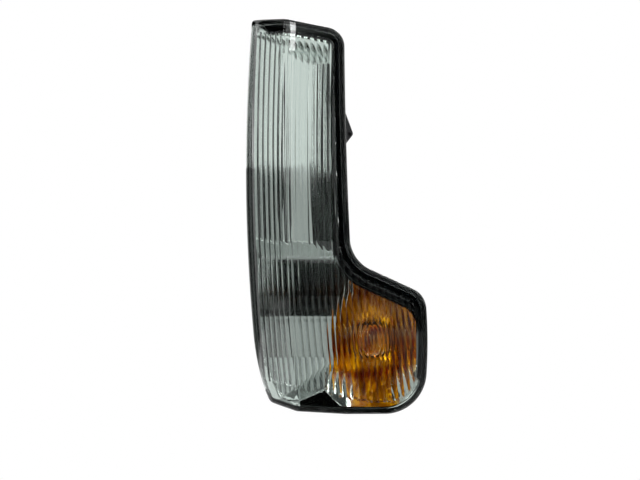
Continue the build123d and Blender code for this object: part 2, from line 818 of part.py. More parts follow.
with BuildPart() as vent_cap:
    with BuildSketch(front_plane(seat_depth - vent_cap_stand)):
        with Locations(vent_place):
            Circle(vent_radius + vent_cap_wall)
    extrude(amount=-vent_cap_length)
    fillet(edges().group_by(Axis.Y)[-1], 0.5 * vent_cap_wall)
    with BuildSketch(front_plane(seat_depth - vent_cap_stand)):
        with Locations(vent_place):
            Circle(vent_radius)
    extrude(amount=-(vent_length - vent_cap_stand), mode=Mode.SUBTRACT)
    with BuildSketch(front_plane(seat_depth - vent_cap_stand)):
        with Locations(vent_place):
            Rectangle(4 * vent_radius, vent_slot)
    extrude(amount=-vent_slot, mode=Mode.SUBTRACT)

# Each piece is written to a file with its own name

pieces = {
    "lens": lens.part,
    "housing": housing.part,
    "lens_sealant": lens_sealant,
    "reflector": reflector.part,
    "bezel": bezel.part,
    "bulb_glass": bulb_glass.part,
    "bulb_leads": bulb_leads.part,
    "bulb_filament": bulb_filament.part,
    "bulb_holder": bulb_holder.part,
    "holder_seal": holder_seal.part,
    "contact_right": contacts[0],
    "contact_left": contacts[1],
    "reflector_screws": reflector_screws.part,
    "vent_cap": vent_cap.part,
}
for name, piece in pieces.items():
    piece.label = name
    export_step(piece, f"parts/{name}.step")
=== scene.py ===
# %% [markdown]
# # A mirror turn signal lamp, dressed
#
# The lamp is an L-shaped unit from the outer corner of a door mirror. A smoke-grey clear lens wraps
# round its left side and is fluted inside, so that everything behind it breaks up into upright
# streaks. Behind the lens lie a chromed tray, a black frame and an amber bulb that points at the
# viewer from a chromed bowl. This notebook loads the solid model, keeps every solid whose shape is
# right, remakes the optical pieces as finer surfaces and gives each piece its finish.

# %% Load the solid model
import bmesh
import bpy
import math
import numpy as np
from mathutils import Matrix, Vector
from mathutils.geometry import delaunay_2d_cdt


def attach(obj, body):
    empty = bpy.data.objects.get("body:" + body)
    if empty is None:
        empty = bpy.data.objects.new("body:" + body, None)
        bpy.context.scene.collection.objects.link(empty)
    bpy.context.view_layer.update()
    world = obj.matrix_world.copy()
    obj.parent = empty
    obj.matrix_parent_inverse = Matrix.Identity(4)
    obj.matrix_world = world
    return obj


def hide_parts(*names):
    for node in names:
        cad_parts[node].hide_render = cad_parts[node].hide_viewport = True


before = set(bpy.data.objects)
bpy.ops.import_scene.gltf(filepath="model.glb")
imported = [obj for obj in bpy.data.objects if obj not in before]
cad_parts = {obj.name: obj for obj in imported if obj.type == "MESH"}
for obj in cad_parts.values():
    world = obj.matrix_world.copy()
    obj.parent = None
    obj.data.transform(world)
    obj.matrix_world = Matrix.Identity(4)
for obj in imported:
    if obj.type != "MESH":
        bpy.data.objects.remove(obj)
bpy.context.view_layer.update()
MM = 0.001

# %% [markdown]
# ## Camera
#
# The photograph looks straight at the lamp along +Y from far away. The lamp's outline gives the scale
# of a pixel, so the camera stands where the middle of the photograph falls, and its focal length
# makes the picture as wide as the photograph at the lamp's depth.

# %% Camera at the photograph's viewing angle
PIXEL = 0.4822 * MM
PHOTO_WIDTH, PHOTO_HEIGHT = 640, 480
ORIGIN_COLUMN, ORIGIN_ROW = 300.0, 216.0
camera_distance = 1.6
lamp_middle_depth = 30 * MM

camera_data = bpy.data.cameras.new("camera")
camera_data.sensor_width = 36.0
camera_data.lens = camera_data.sensor_width * camera_distance / (PHOTO_WIDTH * PIXEL)
camera_data.clip_start = 0.05
camera = bpy.data.objects.new("camera", camera_data)
camera.location = (
    (0.5 * PHOTO_WIDTH - ORIGIN_COLUMN) * PIXEL,
    -camera_distance - lamp_middle_depth,
    (ORIGIN_ROW - 0.5 * PHOTO_HEIGHT) * PIXEL,
)
camera.rotation_euler = (math.radians(90), 0, 0)
bpy.context.scene.collection.objects.link(camera)
bpy.context.scene.camera = camera
print("focal length", round(camera_data.lens, 1), "mm")

# %% [markdown]
# ## Helpers for node materials
#
# Every finish below is a small node tree. These helpers add a node, join two sockets and set the
# values of the main shader, so that each material reads as a short list of what it looks like.

# %% Material helpers


def new_material(name, **sockets):
    """A material with one main shader whose named sockets are set: underscores in a name stand for spaces."""
    material = bpy.data.materials.new(name)
    material.use_nodes = True
    shader = material.node_tree.nodes["Principled BSDF"]
    for socket, value in sockets.items():
        shader.inputs[socket.replace("_", " ")].default_value = value
    return material, material.node_tree.nodes, material.node_tree.links, shader


def add_node(nodes, kind, inputs=None, **settings):
    """A node of a kind, with its settings and the default values of its inputs."""
    node = nodes.new(kind)
    for key, value in settings.items():
        setattr(node, key, value)
    for key, value in (inputs or {}).items():
        node.inputs[key].default_value = value
    return node


def object_noise(nodes, links, scale, detail=4.0, stretch=(1.0, 1.0, 1.0)):
    """Noise in space on Object coordinates, in waves per metre, stretched along the axes."""
    place = add_node(nodes, "ShaderNodeTexCoord")
    mapping = add_node(nodes, "ShaderNodeMapping", {"Scale": stretch})
    noise = add_node(nodes, "ShaderNodeTexNoise", {"Scale": scale, "Detail": detail})
    links.new(place.outputs["Object"], mapping.inputs["Vector"])
    links.new(mapping.outputs["Vector"], noise.inputs["Vector"])
    return noise


NOISE_LOW, NOISE_HIGH = 0.3, 0.7


def spread(nodes, links, source, low, high):
    """A value that follows a noise between two ends. The noise mostly stays from NOISE_LOW to NOISE_HIGH."""
    ramp = add_node(nodes, "ShaderNodeMapRange", {
        "From Min": NOISE_LOW, "From Max": NOISE_HIGH, "To Min": low, "To Max": high,
    })
    links.new(source, ramp.inputs["Value"])
    return ramp.outputs["Result"]


def add_grain(nodes, links, shader, scale, height, detail=3.0):
    """Small bumps: noise of a scale, as a height in metres, into the shader's normal."""
    noise = object_noise(nodes, links, scale, detail)
    bump = add_node(nodes, "ShaderNodeBump", {"Strength": 1.0, "Distance": height})
    links.new(noise.outputs["Fac"], bump.inputs["Height"])
    links.new(bump.outputs["Normal"], shader.inputs["Normal"])
    return noise


def mix_into(nodes, links, socket, share, first, second):
    """Feeds a colour socket with a mix of two colours: a share of 0 gives the first, 1 the second."""
    tone = add_node(nodes, "ShaderNodeMix", data_type="RGBA")
    tone.inputs["A"].default_value, tone.inputs["B"].default_value = first, second
    links.new(share, tone.inputs["Factor"])
    links.new(tone.outputs["Result"], socket)


print("material helpers ready")

# %% [markdown]
# ## Clear, chromed and amber finishes
#
# The lens is clear plastic with a smoky grey-green tint, and its tint comes from the colour of a fully
# transmitting shader. The tray is plastic with a mirror coat of aluminium. A perfect mirror would look
# drawn, so a slow noise makes the coat a little hazy and a very low bump makes it a little wavy. The
# bulb's glass is dyed amber. Such a dye lies unevenly, so one noise, drawn out upwards, picks between a
# dark and a golden amber. The unlit bulb's glass also has a faint painted glow: an emission that stands
# in for light scattered inside the dyed glass. It is set by the same noise and is brightest on the
# golden patches, where it paints highlights.

# %% Clear lens plastic
lens_plastic, nodes, links, shader = new_material(
    "smoky_lens_plastic", Base_Color=(0.83, 0.88, 0.855, 1), Roughness=0.0, IOR=1.49,
    Transmission_Weight=1.0, Specular_IOR_Level=0.2,
)
print("finish", lens_plastic.name)

# %% Chrome of the tray
tray_chrome, nodes, links, shader = new_material(
    "tray_chrome", Base_Color=(0.86, 0.88, 0.87, 1), Metallic=1.0, Roughness=0.03,
)
haze = object_noise(nodes, links, 90.0, 3.0)
links.new(spread(nodes, links, haze.outputs["Fac"], 0.02, 0.07), shader.inputs["Roughness"])
add_grain(nodes, links, shader, 120.0, 0.000004, detail=1.0)
print("finish", tray_chrome.name)

# %% Amber glass of the bulb
DARK_DYE, GOLDEN_DYE = (0.30, 0.035, 0.001, 1), (1.0, 0.72, 0.06, 1)
# Painted glow: the unlit bulb's glass emits faint amber light, brighter on the golden patches as painted
# highlights
DARK_PAINTED_GLOW, GOLDEN_PAINTED_GLOW = (0.12, 0.015, 0.0, 1), (1.0, 0.38, 0.01, 1)
amber_bulb_glass, nodes, links, shader = new_material(
    "amber_bulb_glass", Base_Color=(1.0, 0.50, 0.02, 1), Roughness=0.0, IOR=1.5, Transmission_Weight=1.0,
    Emission_Color=(1.0, 0.34, 0.01, 1), Emission_Strength=0.075,
)
dye = object_noise(nodes, links, 230.0, 2.0, (1.0, 1.0, 0.3))
dye_and_painted_glow_share = spread(nodes, links, dye.outputs["Fac"], -0.4, 1.4)
mix_into(nodes, links, shader.inputs["Base Color"], dye_and_painted_glow_share, DARK_DYE, GOLDEN_DYE)
# The painted glow follows the same patches as the dye: golden patches glow more, as painted highlights
mix_into(nodes, links, shader.inputs["Emission Color"], dye_and_painted_glow_share, DARK_PAINTED_GLOW, GOLDEN_PAINTED_GLOW)
add_grain(nodes, links, shader, 130.0, 0.0008, detail=1.0)
print("finish", amber_bulb_glass.name)

# %% [markdown]
# ## Black plastics and rubber
#
# The shell, the frame, the holder, the seal, the cap and the sealant are black or grey. A flat black
# would look like a hole in the picture, so one function gives each of them a fine grain, a gloss that
# varies with the grain and a tone that drifts slowly over the piece.

# %% Moulded plastic, sealant and rubber
TONE_DRIFT, GLOSS_DRIFT = 0.2, 0.15


def moulded_plastic(name, colour, roughness, grain_scale, grain_height):
    """Moulded plastic: one colour that drifts a little, with a fine grain and uneven gloss."""
    material, nodes, links, shader = new_material(name, Base_Color=(*colour, 1), Roughness=roughness)
    grain = add_grain(nodes, links, shader, grain_scale, grain_height)
    finest, dullest = (1 - GLOSS_DRIFT) * roughness, (1 + GLOSS_DRIFT) * roughness
    links.new(spread(nodes, links, grain.outputs["Fac"], finest, dullest), shader.inputs["Roughness"])
    drift = object_noise(nodes, links, 30.0, 2.0)
    darker, lighter = ((*[(1 + change) * c for c in colour], 1) for change in (-TONE_DRIFT, TONE_DRIFT))
    mix_into(nodes, links, shader.inputs["Base Color"], drift.outputs["Fac"], darker, lighter)
    return material


housing_plastic = moulded_plastic("black_housing_plastic", (0.04, 0.041, 0.043), 0.5, 1500.0, 0.00003)
frame_plastic = moulded_plastic("black_frame_plastic", (0.004, 0.005, 0.006), 0.12, 300.0, 0.000004)
holder_plastic = moulded_plastic("grey_holder_plastic", (0.12, 0.125, 0.13), 0.45, 1200.0, 0.00002)
seal_rubber = moulded_plastic("seal_rubber", (0.015, 0.015, 0.016), 0.7, 2500.0, 0.00003)
cap_rubber = moulded_plastic("cap_rubber", (0.02, 0.02, 0.021), 0.65, 2200.0, 0.00003)
sealant = moulded_plastic("black_sealant", (0.006, 0.006, 0.006), 0.35, 500.0, 0.00005)
print("materials so far", len(bpy.data.materials))

# %% [markdown]
# ## Metals
#
# Contacts, screws and the bulb's wires are bare metal. Drawing, stamping and turning leave fine marks
# along one direction, which draw a highlight out. They could be painted as lines, but noise that is
# stretched along an axis gives the same look on any shape, in the gloss and in a very low bump.

# %% Bare metals


def bare_metal(name, colour, roughness, scale, stretch):
    """Bare metal with drawn or turned marks: noise stretched along one axis sets its gloss."""
    material, nodes, links, shader = new_material(
        name, Base_Color=(*colour, 1), Metallic=1.0, Roughness=roughness,
    )
    marks = object_noise(nodes, links, scale, 5.0, stretch)
    gloss = spread(nodes, links, marks.outputs["Fac"], 0.6 * roughness, 1.5 * roughness)
    links.new(gloss, shader.inputs["Roughness"])
    bump = add_node(nodes, "ShaderNodeBump", {"Strength": 0.6, "Distance": 0.00001})
    links.new(marks.outputs["Fac"], bump.inputs["Height"])
    links.new(bump.outputs["Normal"], shader.inputs["Normal"])
    return material


contact_brass = bare_metal("contact_brass", (0.78, 0.56, 0.24), 0.28, 900.0, (1, 0.1, 1))
screw_steel = bare_metal("screw_steel", (0.62, 0.61, 0.58), 0.32, 700.0, (1, 0.3, 1))
lead_wire = bare_metal("lead_wire", (0.60, 0.57, 0.52), 0.25, 900.0, (1, 0.1, 1))
filament_wire = bare_metal("filament_wire", (0.30, 0.30, 0.31), 0.35, 1500.0, (1, 1, 0.2))
print("materials", len(bpy.data.materials))

# %% [markdown]
# ## Pieces that keep the solid's shape
#
# The solids arrive as loose flat triangles. A merged copy shares its corners, so its round faces can
# be shaded smoothly while edges past an angle stay crisp. Each copy replaces its solid in the picture
# and rides on the same body.

# %% Merged copies of the solids


def add_piece(name, mesh, material, body, slot, *nodes):
    """Links a finished mesh as a piece that rides on a body and stands for some solids."""
    mesh.materials.clear()
    mesh.materials.append(material)
    piece = bpy.data.objects.new(name, mesh)
    bpy.context.scene.collection.objects.link(piece)
    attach(piece, body)
    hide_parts(*nodes)


MERGE_DIGITS = 7


def merged_copy(node, material, body, slot, sharp_angle=28.0):
    """The solid of a node with its doubled corners merged. Faces that meet at less than an angle look
    smooth."""
    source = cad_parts[node].data
    corners = np.empty(3 * len(source.vertices), dtype=np.float32)
    source.vertices.foreach_get("co", corners)
    places, index = np.unique(np.round(corners.reshape(-1, 3), MERGE_DIGITS), axis=0, return_inverse=True)
    triangles = np.empty(3 * len(source.polygons), dtype=np.int32)
    source.polygons.foreach_get("vertices", triangles)
    faces = index.reshape(-1)[triangles].reshape(-1, 3)
    whole = (faces != np.roll(faces, 1, axis=1)).all(axis=1)
    mesh = bpy.data.meshes.new(node + "_piece")
    mesh.from_pydata(places, [], faces[whole])
    mesh.shade_smooth()
    mesh.set_sharp_from_angle(angle=math.radians(sharp_angle))
    add_piece(node + "_piece", mesh, material, body, slot, node)
    print(node, len(mesh.polygons), "triangles")


kept_pieces = [
    ("housing", housing_plastic, "lamp", "black_housing"),
    ("lens_sealant", sealant, "lamp", "black_sealant"),
    ("reflector_screws", screw_steel, "lamp", "screw_steel"),
    ("vent_cap", cap_rubber, "lamp", "cap_rubber"),
    ("bulb_glass", amber_bulb_glass, "holder", "amber_glass"),
    ("bulb_leads", lead_wire, "holder", "lead_wire"),
    ("bulb_filament", filament_wire, "holder", "filament_wire"),
    ("bulb_holder", holder_plastic, "holder", "grey_holder"),
    ("holder_seal", seal_rubber, "holder", "seal_rubber"),
    ("contact_right", contact_brass, "holder", "contact_brass"),
    ("contact_left", contact_brass, "holder", "contact_brass"),
]
for node, material, body, slot in kept_pieces:
    merged_copy(node, material, body, slot)

# %% [markdown]
# ## Outline of the lamp
#
# Lens, frame and tray all follow one outline at different distances inside it. Each edge of the
# outline is taken as part of a circle, a straight one as part of a huge circle, because moving a
# circle inwards only changes its radius. Neighbours meet where their circles cross, and each corner
# is rounded by a circle that touches both.

# %% Outline as a chain of circles
LINE_RADIUS = 1e6
LEFT_X, LAMP_WIDTH = -26.1, 87.2
top_left, top_crest, top_right = -23.3 + 94.4j, -6.3 + 93.9j, 21.3 + 88.4j
arm_right_middle, inner_corner, outer_corner = 22.1 + 38.0j, 24.4 - 21.3j, 59.9 - 37.5j
foot_right_middle, bottom_right, bottom_middle = 61.1 - 62.0j, 58.7 - 94.8j, 22.0 - 94.8j
bottom_crest, bottom_left, left_foot = -1.4 - 93.4j, -14.4 - 89.4j, -16.9 - 83.7j
left_low, left_middle = -22.5 - 57.0j, LEFT_X + 27.0j


def circle_through(start, via, end):
    """Middle of the circle through three points, written as complex numbers: where the bisectors cross."""
    one, two = via - start, end - start
    cross = one.conjugate() * two - one * two.conjugate()
    return start + (abs(one) ** 2 * two - abs(two) ** 2 * one) / cross


def edge(start, end, centre=None):
    """An edge as (centre, radius, side): side is 1 where the centre lies on the lamp's side, -1 elsewhere."""
    inward = -1j * (end - start) / abs(end - start)
    if centre is None:
        centre = 0.5 * (start + end) + LINE_RADIUS * inward
    side = 1.0 if ((centre - start) * inward.conjugate()).real > 0 else -1.0
    return centre, abs(start - centre), side


left_centre = circle_through(left_low, left_middle, top_left)
to_left_centre = (left_centre - left_low) / abs(left_centre - left_low)
foot_chord = left_foot - left_low
left_foot_centre = left_low + to_left_centre * abs(foot_chord) ** 2 / (
    2 * (foot_chord * to_left_centre.conjugate()).real
)
# Each corner with the radius of its round: 0 for none, and negative where the outline turns the other way
outline_corners = [
    (top_left, 1.5), (top_crest, 0), (top_right, 9.5), (inner_corner, -17.0),
    (outer_corner, 11.0), (bottom_right, 20.0), (bottom_middle, 0), (bottom_crest, 0),
    (bottom_left, 4.0), (left_foot, 0), (left_low, 0),
]
# The edge that leaves each corner
outline_edges = [
    edge(top_left, top_crest), edge(top_crest, top_right),
    edge(top_right, inner_corner, circle_through(top_right, arm_right_middle, inner_corner)),
    edge(inner_corner, outer_corner),
    edge(outer_corner, bottom_right, circle_through(outer_corner, foot_right_middle, bottom_right)),
    edge(bottom_right, bottom_middle), edge(bottom_middle, bottom_crest),
    edge(bottom_crest, bottom_left), edge(bottom_left, left_foot),
    edge(left_foot, left_low, left_foot_centre), edge(left_low, top_left, left_centre),
]
print("outline edges", len(outline_edges))

# %% [markdown]
# ## Outline moved inwards
#
# Blender could shrink a curve with an offset, but that drops points where corners are tight, and the
# sheets and walls below need loops that match point for point. So every loop is worked out anew: the
# edges' circles change their radii, and each corner and edge keeps its number of points.

# %% Loops at any distance inside the outline
SMALLEST_ROUND = 0.3


def meet(one, two, inset, near):
    """Where two edges cross once both are moved inwards, from the triangle of their centres and radii."""
    (centre, radius, side), (centre_two, radius_two, side_two) = one, two
    radius, radius_two = radius - side * inset, radius_two - side_two * inset
    gap = abs(centre_two - centre)
    along = (radius**2 - radius_two**2 + gap**2) / (2 * gap)
    across = math.sqrt(max(0.0, radius**2 - along**2))
    places = [centre + (centre_two - centre) / gap * (along + 1j * sign * across) for sign in (1, -1)]
    return min(places, key=lambda place: abs(place - near))


def arc_points(start, end, centre, count):
    """Points from start to end round a centre: the ray to start, turned in equal steps."""
    turn = np.angle((end - centre) / (start - centre))
    return centre + (start - centre) * np.exp(1j * turn * np.linspace(0, 1, count))


def outline_loop(inset, spacing=1.0):
    """The outline moved inwards, clockwise from the top left, with the same number of points at any inset.
    A round that bulges outwards shrinks with the inset, and one that turns the other way grows."""
    rounds = []
    for i, (corner, radius) in enumerate(outline_corners):
        before, after = outline_edges[i - 1], outline_edges[i]
        if radius == 0:
            rounds.append(np.array([meet(before, after, inset, corner)]))
            continue
        bulge = max(radius - inset, SMALLEST_ROUND) if radius > 0 else inset - radius
        reach = inset + bulge if radius > 0 else radius
        centre = meet(before, after, reach, corner)
        ends = []
        for edge_centre, edge_radius, side in (before, after):
            ray = (centre - edge_centre) / abs(centre - edge_centre)
            ends.append(edge_centre + ray * (edge_radius - side * inset))
        count = max(6, round(1.6 * abs(radius) / spacing))
        rounds.append(arc_points(ends[0], ends[1], centre, count))
    loop = []
    for i, (centre, radius, side) in enumerate(outline_edges):
        start, end = rounds[i][-1], rounds[(i + 1) % len(rounds)][0]
        next_corner = outline_corners[(i + 1) % len(outline_corners)][0]
        count = max(3, round(abs(next_corner - outline_corners[i][0]) / spacing))
        loop += [rounds[i], arc_points(start, end, centre, count)[1:-1]]
    return np.concatenate(loop)


outer_loop = outline_loop(0.0)
print("outline points", len(outer_loop), "inner", len(outline_loop(2.8)))

# %% [markdown]
# ## Form of the lens
#
# In plan the lens is two arcs with a rounded crest between them: a tight arc that wraps the side and a
# flat one across the front. All of them are circles, so the same section at another depth inside the
# plastic only has other radii. Along the height the crest bows to the side and backwards as a parabola.

# %% Plan section and its path along the height
CREST_DEPTH, CREST_X, CREST_ROUND = 53.0, -7.8, 4.0
CREST_BOW_HEIGHT, CREST_BOW_RADIUS = 32.0, 1100.0
FRONT_BOW_HEIGHT, FRONT_BOW_RADIUS = 10.0, 800.0
SIDE_RADIUS, SIDE_SLOPE = 39.6, math.radians(30.0)
FRONT_RADIUS, FRONT_SLOPE = 600.0, math.radians(2.0)
SECTION_START, SECTION_END = math.radians(-89), math.radians(9.6)
ARC_STEPS, CREST_STEPS = 900, 160
LENS_WALL = 2.3
JOINT_LEFT_DEPTH, JOINT_RISE = 19.0, 15.0
side_centre = SIDE_RADIUS * math.sin(SIDE_SLOPE) + 1j * (CREST_DEPTH - SIDE_RADIUS * math.cos(SIDE_SLOPE))
front_centre_x = -FRONT_RADIUS * math.sin(FRONT_SLOPE)
front_centre = front_centre_x + 1j * (CREST_DEPTH - FRONT_RADIUS * math.cos(FRONT_SLOPE))
crest_centre = meet(
    (side_centre, SIDE_RADIUS, 1), (front_centre, FRONT_RADIUS, 1), CREST_ROUND,
    (CREST_DEPTH - CREST_ROUND) * 1j,
)


def heading(point, centre):
    """Angle of a ray from straight forwards, positive to the right."""
    return math.atan2((point - centre).real, (point - centre).imag)


crest_left, crest_right = heading(crest_centre, side_centre), heading(crest_centre, front_centre)
section_angles = np.concatenate([
    np.linspace(SECTION_START, crest_left, ARC_STEPS, endpoint=False),
    np.linspace(crest_left, crest_right, CREST_STEPS, endpoint=False),
    np.linspace(crest_right, SECTION_END, ARC_STEPS),
])


def lens_section(inside):
    """Table of the plan section at a distance inside the front: arc length, x from the crest and depth. Each
    point is its arc's centre plus (sine, cosine) of its angle, times the arc's radius less the distance."""
    on_side, on_front = section_angles < crest_left, section_angles >= crest_right
    centre = np.where(on_side, side_centre, np.where(on_front, front_centre, crest_centre))
    radius = np.where(on_side, SIDE_RADIUS, np.where(on_front, FRONT_RADIUS, CREST_ROUND)) - inside
    place = centre + radius * (np.sin(section_angles) + 1j * np.cos(section_angles))
    length = np.concatenate([[0], np.cumsum(np.abs(np.diff(place)))])
    return length - np.interp(0, place.real, length), place.real, place.imag


def crest_line(height):
    """Crest at a height: its x and how far it has bowed back, both parabolas of the height."""
    sideways = (height - CREST_BOW_HEIGHT) ** 2 / (2 * CREST_BOW_RADIUS)
    back = (height - FRONT_BOW_HEIGHT) ** 2 / (2 * FRONT_BOW_RADIUS)
    return CREST_X + sideways, back


outer_section, inner_section = lens_section(0.0), lens_section(LENS_WALL)


def section_depth(x, height, section):
    """Depth of a section's surface at a place in the front view."""
    shift, back = crest_line(height)
    return np.interp(x - shift, section[1], section[2]) - back


def joint_depth(x):
    """Depth of the plane where the lens meets the housing: it leans forwards to the right."""
    return JOINT_LEFT_DEPTH + JOINT_RISE * (x - LEFT_X) / LAMP_WIDTH


depth_at_crest = float(section_depth(CREST_X, CREST_BOW_HEIGHT, outer_section))
print("lens depth at the crest", round(depth_at_crest, 2), "mm")

# %% [markdown]
# ## Flutes
#
# Inside, the lens has upright half-round flutes. They could be a bump in the material, but each one is a
# real cylinder lens that bends what lies behind it, so they are in the mesh. Each flute is an arc over
# a chord between two stations of the section, and its ends are domes, as the round cutter of the
# mould leaves them.

# %% Stations and height of the flutes
FLUTE_PITCH, FLUTE_HEIGHT, FLUTE_START, FLUTE_BASE = 3.1, 0.25, 2.5, 0.15
SIDE_PITCH, SIDE_HEIGHT = 2.5, 0.42
SIDE_FLUTES, FRONT_FLUTES = 6, 20
FLUTE_TIP, BASE_RAMP = 1.7, 0.4
BORDER_LEFT, BORDER, FLUTE_TOP = 2.9, 5.2, 88.4
FOOT_LINE, FOOT_LINE_SLOPE = -4.0 - 81.5j, -0.205
OUTSIDE = 1e3


def station(angle, centre, radius, inside):
    """Point of a plan arc at an angle from straight forwards, some way inside it."""
    return centre + (radius - inside) * (np.sin(angle) + 1j * np.cos(angle))


side_offsets = SIDE_PITCH * (0.5 + np.arange(SIDE_FLUTES, -1, -1))
side_angles = -np.arcsin(math.sin(SIDE_SLOPE) + side_offsets / SIDE_RADIUS)
front_angles = FRONT_SLOPE + (FLUTE_START + FLUTE_PITCH * np.arange(FRONT_FLUTES + 1)) / FRONT_RADIUS
valleys = np.concatenate([
    station(side_angles, side_centre, SIDE_RADIUS, LENS_WALL + FLUTE_BASE),
    station(front_angles, front_centre, FRONT_RADIUS, LENS_WALL + FLUTE_BASE),
])
valley_lengths = np.interp(np.concatenate([side_angles, front_angles]), section_angles, inner_section[0])
chords = valleys[1:] - valleys[:-1]
chord_inward = -1j * chords / abs(chords)
flute_heights = np.where(np.arange(len(chords)) < SIDE_FLUTES, SIDE_HEIGHT, FLUTE_HEIGHT)
print("flutes", len(chords))

# %% Points of the fluted inside and of the front


def window_limits(x):
    """Lowest and highest z of the fluted window at x: the outline moved inwards, less on the wrapped side,
    and cut by a slanted line at the foot and a level one at the top."""
    limits = []
    for inset in (BORDER_LEFT, BORDER):
        loop = outline_loop(inset)
        first, last = np.argmin(loop.real), np.argmax(loop.real)
        loop = np.roll(loop, -first)
        last = (last - first) % len(loop)
        upper, lower = loop[: last + 1], np.append(loop[last:], loop[0])[::-1]
        limits.append((
            np.interp(x, lower.real, lower.imag, left=OUTSIDE, right=OUTSIDE),
            np.interp(x, upper.real, upper.imag, left=-OUTSIDE, right=-OUTSIDE),
        ))
    on_side = x < CREST_X
    foot_line = FOOT_LINE.imag + FOOT_LINE_SLOPE * (x - FOOT_LINE.real)
    low = np.maximum(np.where(on_side, limits[0][0], limits[1][0]), foot_line)
    high = np.minimum(np.where(on_side, limits[0][1], limits[1][1]), FLUTE_TOP)
    return low, high


def fluted_point(length, height):
    """Point inside the lens. The wall's own section, plus the chord's offset and the flute's arc over the
    chord: height times 1 - (2f - 1)^2 - e^2, where f runs across the flute and e grows to 1 at its end. The
    offset sets in over a short ramp, b^2 (3 - 2b)."""
    shift, back = crest_line(height)
    wall_x, wall_depth = (np.interp(length, inner_section[0], inner_section[i]) for i in (1, 2))
    wall = wall_x + 1j * wall_depth
    low, high = window_limits(wall.real + shift)
    inside = np.minimum(height - low, high - height)
    number = np.interp(length, valley_lengths, np.arange(len(valleys)))
    flute = np.clip(np.floor(number).astype(int), 0, len(chords) - 1)
    across = number - flute
    on_flutes = (length > valley_lengths[0]) & (length < valley_lengths[-1])
    end = np.clip(1 - inside / FLUTE_TIP, 0, 1)
    dome = np.maximum(0, 1 - (2 * across - 1) ** 2 - end**2)
    base = np.clip(inside / BASE_RAMP, 0, 1)
    base = base * base * (3 - 2 * base)
    chord_point = valleys[flute] + chords[flute] * across
    arc = -flute_heights[flute] * dome * chord_inward[flute]
    place = wall + np.where(on_flutes, base * (chord_point - wall) + arc, 0)
    return np.stack([place.real + shift, -(place.imag - back), height], axis=-1)


def front_point(length, height):
    """Point on the lens's front at an arc length from the crest and a height."""
    shift, back = crest_line(height)
    x = np.interp(length, outer_section[0], outer_section[1])
    depth = np.interp(length, outer_section[0], outer_section[2])
    return np.stack([x + shift, -(depth - back), height], axis=-1)


print("window at x = 0:", [round(float(z), 1) for z in window_limits(np.array(0.0))])

# %% [markdown]
# ## Sheets cut to an outline
#
# A grid of points is laid over the sheet's two parameters, arc length and height. Points outside the
# outline are dropped and the rest is joined to the outline by a constrained triangulation, so the cut
# edge is exact. The shading normal of each corner is worked out from the formula itself, a little
# inside its face, so the crease between two flutes stays sharp.

# %% Points inside a loop and triangles between them
MERGE_DISTANCE, SMALLEST_AREA = 1e-7, 1e-9


def inside_loop(points, loop):
    """True for the points inside a closed loop: they cross an odd number of its edges on the way right."""
    crossings = np.zeros(len(points), dtype=bool)
    for start, end in zip(loop, np.roll(loop, -1)):
        rising = (start.imag > points.imag) != (end.imag > points.imag)
        slope = (end.real - start.real) / (end.imag - start.imag if end.imag != start.imag else 1.0)
        crossings ^= rising & (points.real < start.real + slope * (points.imag - start.imag))
    return crossings


def triangulated(flat, border, fixed_edges=()):
    """Triangles between flat points, inside the closed loop of the first ones and along some fixed edges."""
    result = delaunay_2d_cdt(flat.tolist(), list(fixed_edges), [list(range(border))], 1, MERGE_DISTANCE)
    if len(result[0]) != len(flat):
        raise ValueError(f"the triangulation gave {len(result[0])} points for {len(flat)}")
    return np.array(result[2])


def facing_viewer(faces, flat):
    """The triangles, all turning the same way and without slivers, by the sign and size of their area."""
    sides = flat[faces]
    area = np.cross(sides[:, 1] - sides[:, 0], sides[:, 2] - sides[:, 0])
    faces[area < 0] = faces[area < 0][:, ::-1]
    return faces[np.abs(area) > SMALLEST_AREA]


def nudged_corners(plan, faces, share):
    """The corners of each triangle, moved a share of the way to its middle."""
    middle = plan[faces].mean(axis=1, keepdims=True)
    return plan[faces] + share * (middle - plan[faces])


# %% Front and fluted inside of the lens
SHEET_GUARD, SHEET_NUDGE, SHEET_STEP = 0.5, 0.04, 0.002
FRONT_SPACING, FRONT_ROW_SPACING, FRONT_SQUEEZE = 1.2, 2.0, 0.6
INSIDE_SPACING, INSIDE_ROW_SPACING, INSIDE_SQUEEZE = 0.8, 0.9, 0.35
STEPS_PER_FLUTE = 8
SHEET_LEFT, SHEET_RIGHT, SHEET_TOP = -45, 80, 96
EDGE_ROUND, EDGE_STEPS = 1.2, 6


def trimmed_sheet(surface, section, inset, lengths, heights, squeeze):
    """Sheet of a surface(length, height) inside the outline at an inset: its points, its triangles, the
    normals of their corners (the cross product of the surface's two slopes) and the length of its border,
    which comes first. Heights are squeezed while triangulating, so that the triangles follow the flutes."""
    def to_sheet(loop):
        shift, _ = crest_line(loop.imag)
        return np.interp(loop.real - shift, section[1], section[0]) + 1j * loop.imag

    border, guard = to_sheet(outline_loop(inset)), to_sheet(outline_loop(inset + SHEET_GUARD))
    grid_lengths, grid_heights = np.meshgrid(lengths, heights)
    grid = (grid_lengths + 1j * grid_heights).ravel()
    grid = grid[inside_loop(grid, guard)]
    plan = np.concatenate([border, grid])
    flat = np.column_stack([plan.real, plan.imag * squeeze])
    faces = facing_viewer(triangulated(flat, len(border)), flat)
    corner, step = nudged_corners(plan, faces, SHEET_NUDGE), SHEET_STEP
    along = surface(corner.real + step, corner.imag) - surface(corner.real - step, corner.imag)
    up = surface(corner.real, corner.imag + step) - surface(corner.real, corner.imag - step)
    normals = np.cross(along, up)
    normals /= np.linalg.norm(normals, axis=-1, keepdims=True)
    return surface(plan.real, plan.imag), faces, normals, len(border)


